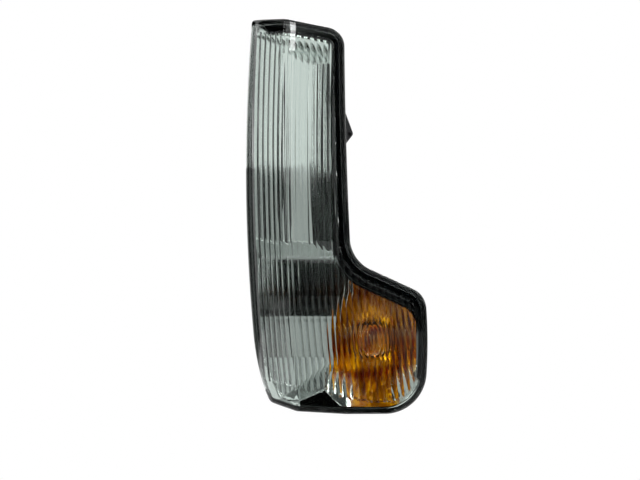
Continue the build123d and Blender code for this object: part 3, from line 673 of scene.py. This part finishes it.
front_sheet = trimmed_sheet(
    front_point, outer_section, EDGE_ROUND, np.arange(-40, SHEET_RIGHT, FRONT_SPACING),
    np.arange(-SHEET_TOP, SHEET_TOP, FRONT_ROW_SPACING), FRONT_SQUEEZE,
)
flute_columns = np.interp(
    np.arange(0, len(valleys) - 0.9, 1 / STEPS_PER_FLUTE), np.arange(len(valleys)), valley_lengths
)
columns = np.concatenate([
    np.arange(valley_lengths[0] - INSIDE_SPACING, SHEET_LEFT, -INSIDE_SPACING)[::-1], flute_columns,
    np.arange(valley_lengths[-1] + INSIDE_SPACING, SHEET_RIGHT, INSIDE_SPACING),
])
fluted_sheet = trimmed_sheet(
    fluted_point, inner_section, LENS_WALL, columns,
    np.arange(-SHEET_TOP, SHEET_TOP, INSIDE_ROW_SPACING), INSIDE_SQUEEZE,
)
print("front sheet", len(front_sheet[1]), "triangles, fluted sheet", len(fluted_sheet[1]))

# %% [markdown]
# ## Rim of the lens
#
# Between the two sheets runs the lens's rim: a rounded front edge, the wall down to the joint, and the
# tongue that sits in the sealant. A Solidify modifier would give a wall of one thickness but no tongue
# and no flutes, so the rim is a stack of rings, each one the outline at an inset and a depth.

# %% Rings of the rim
TONGUE_WIDTH, TONGUE_HEIGHT = 1.0, 1.6
tongue_out, tongue_in = 0.5 * (LENS_WALL - TONGUE_WIDTH), 0.5 * (LENS_WALL + TONGUE_WIDTH)


def ring(inset, depth):
    """Loop of points at an inset, at a depth that is a value for each point."""
    loop = outline_loop(inset)
    return np.column_stack([loop.real, -depth(loop), loop.imag])


def edge_ring(turn):
    """Ring of the rounded front edge: its inset and its drop go round a quarter circle."""
    inset, drop = EDGE_ROUND * (1 - math.sin(turn)), EDGE_ROUND * (1 - math.cos(turn))
    return ring(inset, lambda loop: section_depth(loop.real, loop.imag, outer_section) - drop)


def joint_ring(inset, drop=0.0):
    """Ring on the joint plane, or behind it."""
    return ring(inset, lambda loop: joint_depth(loop.real) - drop)


edge_turns = np.linspace(0, 0.5 * math.pi, EDGE_STEPS + 1)[1:]
rim_rings = [edge_ring(turn) for turn in edge_turns] + [
    joint_ring(0.0), joint_ring(tongue_out), joint_ring(tongue_out, TONGUE_HEIGHT),
    joint_ring(tongue_in, TONGUE_HEIGHT), joint_ring(tongue_in), joint_ring(LENS_WALL),
]
print("rings of the rim", len(rim_rings))

# %% Lens mesh


def quads_between(first, second):
    """Faces between two closed rows of point numbers."""
    return np.column_stack([first, np.roll(first, -1), np.roll(second, -1), second])


def quads_along(rows):
    """Faces between each closed row of point numbers and the next."""
    return np.concatenate([quads_between(first, second) for first, second in zip(rows[:-1], rows[1:])])


def build_mesh(name, points, triangles, quads, corner_normals=None, sharp_angle=30.0):
    """A mesh from points in millimetres, triangles with their corner normals, and quads shaded by angle."""
    mesh = bpy.data.meshes.new(name)
    sizes = np.concatenate([np.full(len(triangles), 3), np.full(len(quads), 4)]).astype(np.int32)
    corners = np.concatenate([np.ravel(triangles), np.ravel(quads)]).astype(np.int32)
    mesh.vertices.add(len(points))
    mesh.vertices.foreach_set("co", (np.asarray(points) * MM).astype(np.float32).ravel())
    mesh.loops.add(len(corners))
    mesh.loops.foreach_set("vertex_index", corners)
    mesh.polygons.add(len(sizes))
    mesh.polygons.foreach_set("loop_start", (np.cumsum(sizes) - sizes).astype(np.int32))
    mesh.update(calc_edges=True)
    mesh.validate()
    mesh.shade_smooth()
    mesh.set_sharp_from_angle(angle=math.radians(sharp_angle))
    if corner_normals is not None:
        normals = np.zeros((len(corners), 3))
        normals[: 3 * len(triangles)] = np.reshape(corner_normals, (-1, 3))
        mesh.normals_split_custom_set(normals.tolist())
    return mesh


front_points, front_faces, front_normals, border = front_sheet
inner_points, inner_faces, inner_normals, _ = fluted_sheet
points = np.concatenate([front_points, *rim_rings, inner_points])
rows = [np.arange(border)]
rows += [len(front_points) + i * border + np.arange(border) for i in range(len(rim_rings))]
inner_start = len(front_points) + len(rim_rings) * border
rows.append(inner_start + np.arange(border))
lens_mesh = build_mesh(
    "lens_piece", points, np.concatenate([front_faces, inner_faces[:, ::-1] + inner_start]),
    quads_along(rows), np.concatenate([front_normals, -inner_normals[:, ::-1]]),
)
add_piece("lens_piece", lens_mesh, lens_plastic, "lamp", "clear_lens", "lens")
print("lens", len(lens_mesh.polygons), "faces")

# %% [markdown]
# ## Chromed tray
#
# The tray is one thin mirror-coated moulding. Its face is a height over the front view: a trough with a
# flat strip along the arm, a chamber below it and a bowl round the bulb. Each of these is a simple
# surface, and the tray's face is whichever lies furthest back, but never in front of the room that the
# lens leaves. Booleans of separate bodies could do the same, but would leave ragged triangles, which a
# mirror shows at once.

# %% Sizes of the tray's face
TRAY_ROOM, TRAY_RIM, TRAY_WALL = 2.0, 0.9, 2.2
RIDGE_X, RIDGE_DEPTH, RIDGE_WIDTH, TROUGH_LEFT_DEPTH = -6.6, 29.0, 1.0, 22.5
PANEL_RIGHT_X, PANEL_RIGHT_DEPTH = 6.3, 28.4
STRIP_WIDTH, STRIP_SLOPE = 20, 0.7
CAP_RISE, CAP_PLACE, CAP_HEADING = 1.35, -5.8 + 81.0j, 0.537 + 0.844j
LEDGE_Z, LEDGE_SLOPE = -13.5, 1.49
CHAMBER_TOP, CHAMBER_FLAT, CHAMBER_DEPTH, CHAMBER_RIGHT = -19.2, -51.0, 27.0, 24.0
FLOOR_TOP, FLOOR_SLOPE = -68.0, 11 / 24
TOE_RISE, TOE_LEFT, TOE_RIGHT = 1.5, 0.0 - 81.5j, 14.5 - 71.8j
BOWL_CENTRE, BOWL_DEPTH, BOWL_FOCUS, BOWL_STRETCH = 34.7 - 60.0j, 13.0, 7.0, 1.3
BULB_HOLE = 8.8
room_section = lens_section(LENS_WALL + TRAY_ROOM)
panel_right = PANEL_RIGHT_X + PANEL_RIGHT_DEPTH * 1j
panel_centre = circle_through(RIDGE_X + RIDGE_WIDTH + 26.4j, 0.35 + 26.9j, panel_right)
panel_x = np.linspace(RIDGE_X + RIDGE_WIDTH, PANEL_RIGHT_X, 40)
panel_radius = abs(panel_centre - panel_right)
panel_depth = panel_centre.imag - np.sqrt(panel_radius**2 - (panel_x - panel_centre.real) ** 2)
trough_x = np.concatenate([[LEFT_X, RIDGE_X], panel_x, [PANEL_RIGHT_X + STRIP_WIDTH]])
trough_depth = np.concatenate([
    [TROUGH_LEFT_DEPTH, RIDGE_DEPTH], panel_depth, [PANEL_RIGHT_DEPTH + STRIP_SLOPE * STRIP_WIDTH],
])
chamber_low = CHAMBER_FLAT + CHAMBER_DEPTH * 1j
chamber_centre = circle_through(CHAMBER_TOP + 36.0j, -33.0 + 29.5j, chamber_low)
chamber_radius = abs(chamber_centre - chamber_low)
toe_along = (TOE_RIGHT - TOE_LEFT) / abs(TOE_RIGHT - TOE_LEFT)
toe_slope = -FLOOR_SLOPE * toe_along.imag * toe_along - 1j * TOE_RISE * toe_along
print("trough from", trough_x[0], "to", trough_x[-1], "mm across, least depth", round(trough_depth.min(), 1))

# %% Face of the tray


def tray_depth(x, height):
    """Depth of the tray's face. Arm: the greatest of trough, cap plane and ledge plane. Chamber: an arc, then
    the greater of floor and toe slope. Bowl: its depth plus the square of the distance over four focal
    lengths. The face is the least of the three, and no more than the room behind the lens."""
    from_cap = (x - CAP_PLACE.real) * CAP_HEADING.real + (height - CAP_PLACE.imag) * CAP_HEADING.imag
    cap = PANEL_RIGHT_DEPTH + CAP_RISE * from_cap
    ledge = PANEL_RIGHT_DEPTH + LEDGE_SLOPE * (LEDGE_Z - height)
    arm = np.maximum(np.interp(x, trough_x, trough_depth), np.maximum(cap, ledge))
    drop = np.sqrt(np.maximum(0, chamber_radius**2 - (height - chamber_centre.real) ** 2))
    slope = CHAMBER_DEPTH + FLOOR_SLOPE * np.maximum(0, FLOOR_TOP - height)
    toe = CHAMBER_DEPTH + FLOOR_SLOPE * (FLOOR_TOP - TOE_LEFT.imag)
    toe = toe + toe_slope.real * x + toe_slope.imag * (height - TOE_LEFT.imag)
    chamber = np.where(height > CHAMBER_FLAT, chamber_centre.imag - drop, np.maximum(slope, toe))
    chamber = np.where((height < CHAMBER_TOP) & (x < CHAMBER_RIGHT), chamber, OUTSIDE)
    away = (x - BOWL_CENTRE.real) ** 2 + ((height - BOWL_CENTRE.imag) / BOWL_STRETCH) ** 2
    bowl = BOWL_DEPTH + away / (4 * BOWL_FOCUS)
    face = np.minimum(arm, np.minimum(chamber, bowl))
    return np.minimum(face, section_depth(x, height, room_section))


print("bowl", round(float(tray_depth(BOWL_CENTRE.real, BOWL_CENTRE.imag)), 1), "mm deep in its middle")

# %% [markdown]
# ## Where tray and frame share the lens
#
# The black frame takes a strip off the chrome along the top, down the arm's right side and round the
# foot. One value along the outline says how far a place belongs to the frame. Both pieces read it, so
# that their edges follow each other with an even gap.

# %% Edges of tray and frame
EDGE_GAP, FRAME_CLEARANCE = 0.3, 0.3
FRAME_WIDTH, FRAME_WIDTH_CORNER, FRAME_WIDTH_FOOT = 3.6, 6.1, 1.6
TOP_RAMP, FOOT_RAMP, FOOT_START_X = (-21.0, -18.0), (-80.0, -78.0), 10.0
CORNER_RAMP, NARROW_RAMP = (2.0, -20.0), (-42.0, -50.0)


def ramp(value, limits):
    """0 up to the first limit, 1 past the second, straight between."""
    return np.clip((value - limits[0]) / (limits[1] - limits[0]), 0, 1)


def frame_share(loop):
    """1 beside the black frame (top, the arm's right side, right of the foot), 0 elsewhere, with short ramps
    between."""
    along_foot = ramp(loop.imag, FOOT_RAMP) * (loop.real > FOOT_START_X)
    return np.where(loop.imag > 0, ramp(loop.real, TOP_RAMP), along_foot)


frame_zone = frame_share(outer_loop) > 0.999
frame_out = LENS_WALL + EDGE_GAP


def frame_inner(inset=0.0):
    """Inner edge of the frame: a mix of three inset outlines, widest under the inner corner, narrowest at the
    foot."""
    corner, foot = ramp(outer_loop.imag, CORNER_RAMP), ramp(outer_loop.imag, NARROW_RAMP)
    arm, wide, narrow = (
        outline_loop(frame_out + width + inset)
        for width in (FRAME_WIDTH, FRAME_WIDTH_CORNER, FRAME_WIDTH_FOOT)
    )
    return (1 - corner) * arm + corner * ((1 - foot) * wide + foot * narrow)


def tray_loop(inset):
    """Outline of the tray: near the lens wall, but further in beside the black frame."""
    share = frame_share(outer_loop)
    return (1 - share) * outline_loop(frame_out + inset) + share * frame_inner(FRAME_CLEARANCE + inset)


print("outline points beside the frame", int(frame_zone.sum()))

# %% Triangulated face of the tray
TRAY_SPACING, TRAY_GUARD, TRAY_NUDGE, TRAY_STEP = 0.6, 0.4, 0.15, 0.01
HOLE_POINTS, HOLE_GUARD, HOLE_TOLERANCE = 72, 0.3, 0.01


def tray_grid():
    """Grid over the front view whose rows and columns also follow the face's creases."""
    creases_z = [LEDGE_Z, CHAMBER_TOP, CHAMBER_FLAT, FLOOR_TOP]
    creases_x = [RIDGE_X, RIDGE_X + RIDGE_WIDTH, PANEL_RIGHT_X]
    rows = np.unique(np.round(np.concatenate([np.arange(-95, 95, TRAY_SPACING), creases_z]), 3))
    columns = np.unique(np.round(np.concatenate([np.arange(-26, 62, TRAY_SPACING), creases_x]), 3))
    grid_x, grid_z = np.meshgrid(columns, rows)
    return (grid_x + 1j * grid_z).ravel()


def tray_sheet():
    """The tray's face inside its rim: a grid, the rim's own points and the bulb hole, triangulated together.
    The normal of a height d(x, z) is (-dd/dx, -1, -dd/dz), made one long."""
    border, guard = tray_loop(TRAY_RIM), tray_loop(TRAY_RIM + TRAY_GUARD)
    hole = BOWL_CENTRE + BULB_HOLE * np.exp(2j * np.pi * np.arange(HOLE_POINTS) / HOLE_POINTS)
    grid = tray_grid()
    grid = grid[inside_loop(grid, guard) & (abs(grid - BOWL_CENTRE) > BULB_HOLE + HOLE_GUARD)]
    plan = np.concatenate([border, hole, grid])
    first = len(border)
    hole_edges = [(first + i, first + (i + 1) % len(hole)) for i in range(len(hole))]
    flat = np.column_stack([plan.real, plan.imag])
    faces = triangulated(flat, first, hole_edges)
    from_bowl = abs(plan[faces].mean(axis=1) - BOWL_CENTRE)
    faces = faces[from_bowl > BULB_HOLE * math.cos(math.pi / HOLE_POINTS) - HOLE_TOLERANCE]
    faces = facing_viewer(faces, flat)
    corner, step = nudged_corners(plan, faces, TRAY_NUDGE), TRAY_STEP
    across = tray_depth(corner.real + step, corner.imag) - tray_depth(corner.real - step, corner.imag)
    upwards = tray_depth(corner.real, corner.imag + step) - tray_depth(corner.real, corner.imag - step)
    slope_x, slope_z = across / (2 * step), upwards / (2 * step)
    normals = np.stack([-slope_x, -np.ones_like(slope_x), -slope_z], axis=-1)
    normals /= np.linalg.norm(normals, axis=-1, keepdims=True)
    points = np.column_stack([plan.real, -tray_depth(plan.real, plan.imag), plan.imag])
    return points, faces, normals, len(border)


face_points, face_triangles, face_normals, border = tray_sheet()
print("tray face", len(face_triangles), "triangles")

# %% Tray mesh
inner_edge, outer_edge = tray_loop(TRAY_RIM), tray_loop(0.0)
rim_top = section_depth(inner_edge.real, inner_edge.imag, room_section)
rim_out = section_depth(outer_edge.real, outer_edge.imag, room_section)
back_depth = np.minimum(-face_points[:border, 1], rim_out) - TRAY_WALL
rim_rings = [
    np.column_stack([inner_edge.real, -np.maximum(rim_top, -face_points[:border, 1]), inner_edge.imag]),
    np.column_stack([outer_edge.real, -rim_out, outer_edge.imag]),
    np.column_stack([outer_edge.real, -back_depth, outer_edge.imag]),
]
back_points = face_points + np.array([0, TRAY_WALL, 0])
points = np.concatenate([face_points, *rim_rings, back_points])
count = len(face_points)
back_start = count + 3 * border
rows = [start + np.arange(border) for start in (0, count, count + border, count + 2 * border, back_start)]
hole_row = border + np.arange(HOLE_POINTS)
tray_mesh = build_mesh(
    "reflector_piece", points, np.concatenate([face_triangles, face_triangles[:, ::-1] + back_start]),
    np.concatenate([quads_along(rows), quads_between(hole_row, hole_row + back_start)]),
    np.concatenate([face_normals, -face_normals[:, ::-1]]),
)
add_piece("reflector_piece", tray_mesh, tray_chrome, "lamp", "chromed_reflector", "reflector")
print("tray", len(tray_mesh.polygons), "faces")

# %% [markdown]
# ## Black frame
#
# A glossy black angle section runs beside the chrome along the arm and round the foot. It is one profile
# carried along the outline: each of its corners is an inset and a depth. A curve with a bevel profile
# would keep one width, but this section widens under the inner corner and narrows at the foot.

# %% Frame as a profile along the outline
FRAME_ROOM, FRAME_WALL, FRAME_THICKNESS, FRAME_ROUND = 1.2, 1.5, 1.6, 0.4
ROUND_STEPS = 5
frame_section = lens_section(LENS_WALL + FRAME_ROOM)
frame_index = np.flatnonzero(frame_zone)
breaks = np.flatnonzero(np.diff(frame_index) > 1)
if len(breaks):
    frame_index = np.roll(frame_index, -(breaks[0] + 1))


def frame_row(loop, drop, on_joint=False):
    """One corner of the section along a loop: a drop behind the frame's face, or on the joint plane."""
    loop = loop[frame_index]
    top = section_depth(loop.real, loop.imag, frame_section) - drop
    return np.column_stack([loop.real, -(joint_depth(loop.real) if on_joint else top), loop.imag])


round_turns = np.linspace(0, 0.5 * math.pi, ROUND_STEPS)
frame_rows = [frame_row(outline_loop(frame_out), 0, True)]
for turn in round_turns:
    inset, drop = FRAME_ROUND * (1 - math.cos(turn)), FRAME_ROUND * (1 - math.sin(turn))
    frame_rows.append(frame_row(outline_loop(frame_out + inset), drop))
for turn in round_turns:
    inset, drop = -FRAME_ROUND * (1 - math.sin(turn)), FRAME_ROUND * (1 - math.cos(turn))
    frame_rows.append(frame_row(frame_inner(inset), drop))
frame_rows += [
    frame_row(frame_inner(), FRAME_THICKNESS),
    frame_row(outline_loop(frame_out + FRAME_WALL), FRAME_THICKNESS),
    frame_row(outline_loop(frame_out + FRAME_WALL), 0, True),
]
print("rows of the frame", len(frame_rows), "with", len(frame_index), "points each")

# %% Frame mesh with closed ends
length = len(frame_index)
points = np.concatenate(frame_rows)
quads = []
for i in range(len(frame_rows)):
    first, second = i * length, ((i + 1) % len(frame_rows)) * length
    along = np.arange(length - 1)
    quads.append(np.column_stack([first + along, first + along + 1, second + along + 1, second + along]))
frame_mesh = build_mesh("bezel_piece", points, np.zeros((0, 3), int), np.concatenate(quads), None, 40.0)
caps = bmesh.new()
caps.from_mesh(frame_mesh)
bmesh.ops.holes_fill(caps, edges=[e for e in caps.edges if e.is_boundary])
bmesh.ops.recalc_face_normals(caps, faces=caps.faces)
caps.to_mesh(frame_mesh)
caps.free()
add_piece("bezel_piece", frame_mesh, frame_plastic, "lamp", "black_bezel", "bezel")
print("frame", len(frame_mesh.polygons), "faces")

# %% [markdown]
# ## Background
#
# The photograph has a white background. The world is white wherever the camera, a mirror or clear
# plastic looks at it, and softer as a light, so that a colour on the lamp comes out about as it is
# written. Light Path tells the two kinds of rays apart.

# %% World


def studio_world():
    """White background for camera, mirror and transmitted rays, and a softer one for the light."""
    world = bpy.data.worlds.new("studio")
    world.use_nodes = True
    nodes, links = world.node_tree.nodes, world.node_tree.links
    nodes.clear()
    path = add_node(nodes, "ShaderNodeLightPath")
    in_view_or_mirror = add_node(nodes, "ShaderNodeMath", operation="ADD")
    seen = add_node(nodes, "ShaderNodeMath", operation="ADD", use_clamp=True)
    links.new(path.outputs["Is Camera Ray"], in_view_or_mirror.inputs[0])
    links.new(path.outputs["Is Glossy Ray"], in_view_or_mirror.inputs[1])
    links.new(in_view_or_mirror.outputs[0], seen.inputs[0])
    links.new(path.outputs["Is Transmission Ray"], seen.inputs[1])
    soft = add_node(nodes, "ShaderNodeBackground", {"Color": (1, 1, 1, 1), "Strength": 0.55})
    white = add_node(nodes, "ShaderNodeBackground", {"Color": (1, 1, 1, 1), "Strength": 1.0})
    mix = add_node(nodes, "ShaderNodeMixShader")
    output = add_node(nodes, "ShaderNodeOutputWorld")
    links.new(seen.outputs[0], mix.inputs[0])
    links.new(soft.outputs[0], mix.inputs[1])
    links.new(white.outputs[0], mix.inputs[2])
    links.new(mix.outputs[0], output.inputs[0])
    return world


bpy.context.scene.world = studio_world()
print("world", bpy.context.scene.world.name)

# %% [markdown]
# ## Floor and cards
#
# A pale floor lies under the lamp. Chrome shows nothing but its surroundings, so black, grey and bright
# cards stand about, as they do beside glossy things in a studio, and draw its dark and bright areas.
# They could be painted on the world, but then every part of the lamp would see them in the same
# direction, and a near card is seen differently by arm and foot. Each card's range was found by asking
# which directions one part of the lamp reflects. Only reflections and the lens see the cards.

# %% Floor
FLOOR_HEIGHT = -0.25


def add_sheet(name, corners, faces, material):
    """A mesh of the surroundings, from its corners in metres."""
    mesh = bpy.data.meshes.new(name)
    mesh.from_pydata(corners, [], faces)
    mesh.materials.append(material)
    sheet = bpy.data.objects.new(name, mesh)
    bpy.context.scene.collection.objects.link(sheet)
    return sheet


def rectangle(name, centre, across, up, material):
    """A flat rectangle round a centre, from its two half sides."""
    centre, across, up = Vector(centre), Vector(across), Vector(up)
    corners = [centre - across - up, centre + across - up, centre + across + up, centre - across + up]
    return add_sheet(name, corners, [(0, 1, 2, 3)], material)


def paper(name, value):
    """Plain matt paper of one grey."""
    return new_material(name, Base_Color=(value, value, value, 1), Roughness=0.9, Specular_IOR_Level=0.0)[0]


rectangle("floor", (0, 0, FLOOR_HEIGHT), (1.5, 0, 0), (0, 1.5, 0), paper("pale_floor", 0.9))
print("floor at", FLOOR_HEIGHT, "m")

# %% Two kinds of card
black_paper = paper("black_card", 0.002)


def glow(value):
    """Grey that looks the same from anywhere, for cards that only show in reflections."""
    return new_material(
        f"glow_{value:g}", Base_Color=(0, 0, 0, 1), Specular_IOR_Level=0.0,
        Emission_Color=(value, value, value, 1), Emission_Strength=1.0,
    )[0]


def as_card(sheet):
    """Hides a sheet from the camera and from soft light, and takes away its shadow."""
    sheet.visible_camera = sheet.visible_diffuse = sheet.visible_shadow = False


def round_card(name, radius, azimuths, heights, material, steps=48):
    """A card bent round the lamp: points at a radius, over a range of azimuths in degrees and between two
    heights in metres. A pair of radii makes it lie flat. Azimuth 0 is where the camera stands, 90 to the
    right of it."""
    turns = np.radians(np.linspace(*azimuths, steps + 1))
    radii = radius if isinstance(radius, tuple) else (radius, radius)
    points = np.concatenate([
        np.column_stack([r * np.sin(turns), -r * np.cos(turns), np.full(steps + 1, z)])
        for r, z in zip(radii, heights)
    ])
    first = np.arange(steps)
    faces = np.column_stack([first, first + 1, first + steps + 2, first + steps + 1])
    as_card(add_sheet(name, points.tolist(), faces.tolist(), material))


def at(radius, *elevations):
    """Heights of a card's edges at a radius, from their elevations seen from the lamp in degrees."""
    return tuple(radius * math.tan(math.radians(e)) for e in elevations)


print("card materials ready")

# %% Cards round the lamp
HORIZON, ON_FLOOR, FLOOR_RING = (FLOOR_HEIGHT, 0.053), (FLOOR_HEIGHT + 0.005,) * 2, (1.39, 0.42)
# The lower half of the arm and the chamber's pale floor see the horizon
round_card("horizon_left_card", 1.4, (-180, -38), HORIZON, glow(0.30))
round_card("horizon_card", 1.4, (-38, 9), HORIZON, glow(0.48))
round_card("horizon_right_card", 1.4, (9, 180), HORIZON, glow(0.15))
# The lower part of the dark chamber and the left face's foot see the floor
round_card("floor_card", FLOOR_RING, (-20, 12), ON_FLOOR, black_paper)
round_card("floor_left_card", FLOOR_RING, (-110, -20), ON_FLOOR, glow(0.35))
round_card("floor_right_card", FLOOR_RING, (12, 60), ON_FLOOR, glow(0.15))
round_card("low_front_card", 1.35, (-20, 40), (FLOOR_HEIGHT, *at(1.35, -5.9)), black_paper)
round_card("chamber_card", 1.3, (3, 11.3), at(1.3, -7.0, -5.5), black_paper)
# The lens's own front mirrors these: dark to the right of the crest, and a light on the crest itself
round_card("right_card", 1.2, (9, 32), at(1.2, -11.5, 30), black_paper)
round_card("rim_card", 1.2, (4.1, 9), (-0.07, 0.45), black_paper)
round_card("crest_light", 1.15, (2.8, 4.2), (0.33, 0.50), glow(10.0))
# The strip beside the panel looks to the left: black there, but for a bright slot above the horizon
round_card("slot_light", 1.38, (-64, -57), at(1.38, 2.2, 40), glow(3.6))
round_card("strip_card_left", 1.3, (-115, -62.8), (FLOOR_HEIGHT, *at(1.3, 42)), black_paper)
round_card("strip_card_middle", 1.3, (-58.2, -48), (FLOOR_HEIGHT, *at(1.3, 42)), black_paper)
round_card("strip_card_low", 1.28, (-73, -37), (FLOOR_HEIGHT, *at(1.28, 2.2)), black_paper)
# The wrapped left edge looks back past the lamp
round_card("left_back_card", 1.2, (-152, -125), at(1.2, -10, 20), black_paper)
# The sloped floor of the foot and the cap look up, and the ledge looks straight up
round_card("overhead_left_card", 1.0, (-70, -6), at(1.0, 30, 60), glow(0.08))
round_card("overhead_card", 1.0, (-6, 70), at(1.0, 25, 60), glow(0.65))
round_card("ceiling_card", (0.02, 0.9), (-180, 180), (1.3, 1.3), glow(0.42))
# The chamber looks down at what is close in front of the foot
as_card(rectangle("close_card", (0.014, -0.11, -0.119), (0.051, 0, 0), (0, 0, 0.045), black_paper))
as_card(rectangle("close_low_card", (0.005, -0.111, -0.207), (0.09, 0, 0), (0, 0, 0.043), glow(0.4)))

# %% [markdown]
# ## Lamps
#
# The black pieces and the floor get their shape from light rather than from reflections. Three large
# soft lamps, two above the camera and one behind, give broad edges to their shading. They are kept
# weak, so that a colour comes out about as it is written.

# %% Lamps


def soft_lamp(name, place, size, power):
    """A square area lamp that faces the object."""
    data = bpy.data.lights.new(name, "AREA")
    data.energy, data.size = power, size
    lamp = bpy.data.objects.new(name, data)
    lamp.location = place
    lamp.rotation_euler = (-Vector(place)).to_track_quat("-Z", "Y").to_euler()
    bpy.context.scene.collection.objects.link(lamp)
    return lamp


soft_lamp("upper_left_lamp", (-1.2, -1.6, 1.6), 1.0, 30.0)
soft_lamp("upper_right_lamp", (1.6, -1.0, 1.4), 1.0, 14.0)
soft_lamp("back_lamp", (0.4, 1.8, 1.2), 1.0, 16.0)
print("lamps", len(bpy.data.lights))

# %% [markdown]
# ## Light paths
#
# A ray crosses both faces of the lens on its way to the chrome and both again on its way back, and more
# faces in the bulb, so paths may be long before they end.

# %% Colour and light paths
scene = bpy.context.scene
scene.view_settings.view_transform = "Standard"
scene.cycles.max_bounces = 24
scene.cycles.transmission_bounces = 24
scene.cycles.glossy_bounces = 12
scene.cycles.transparent_max_bounces = 16
print("longest light path", scene.cycles.max_bounces)
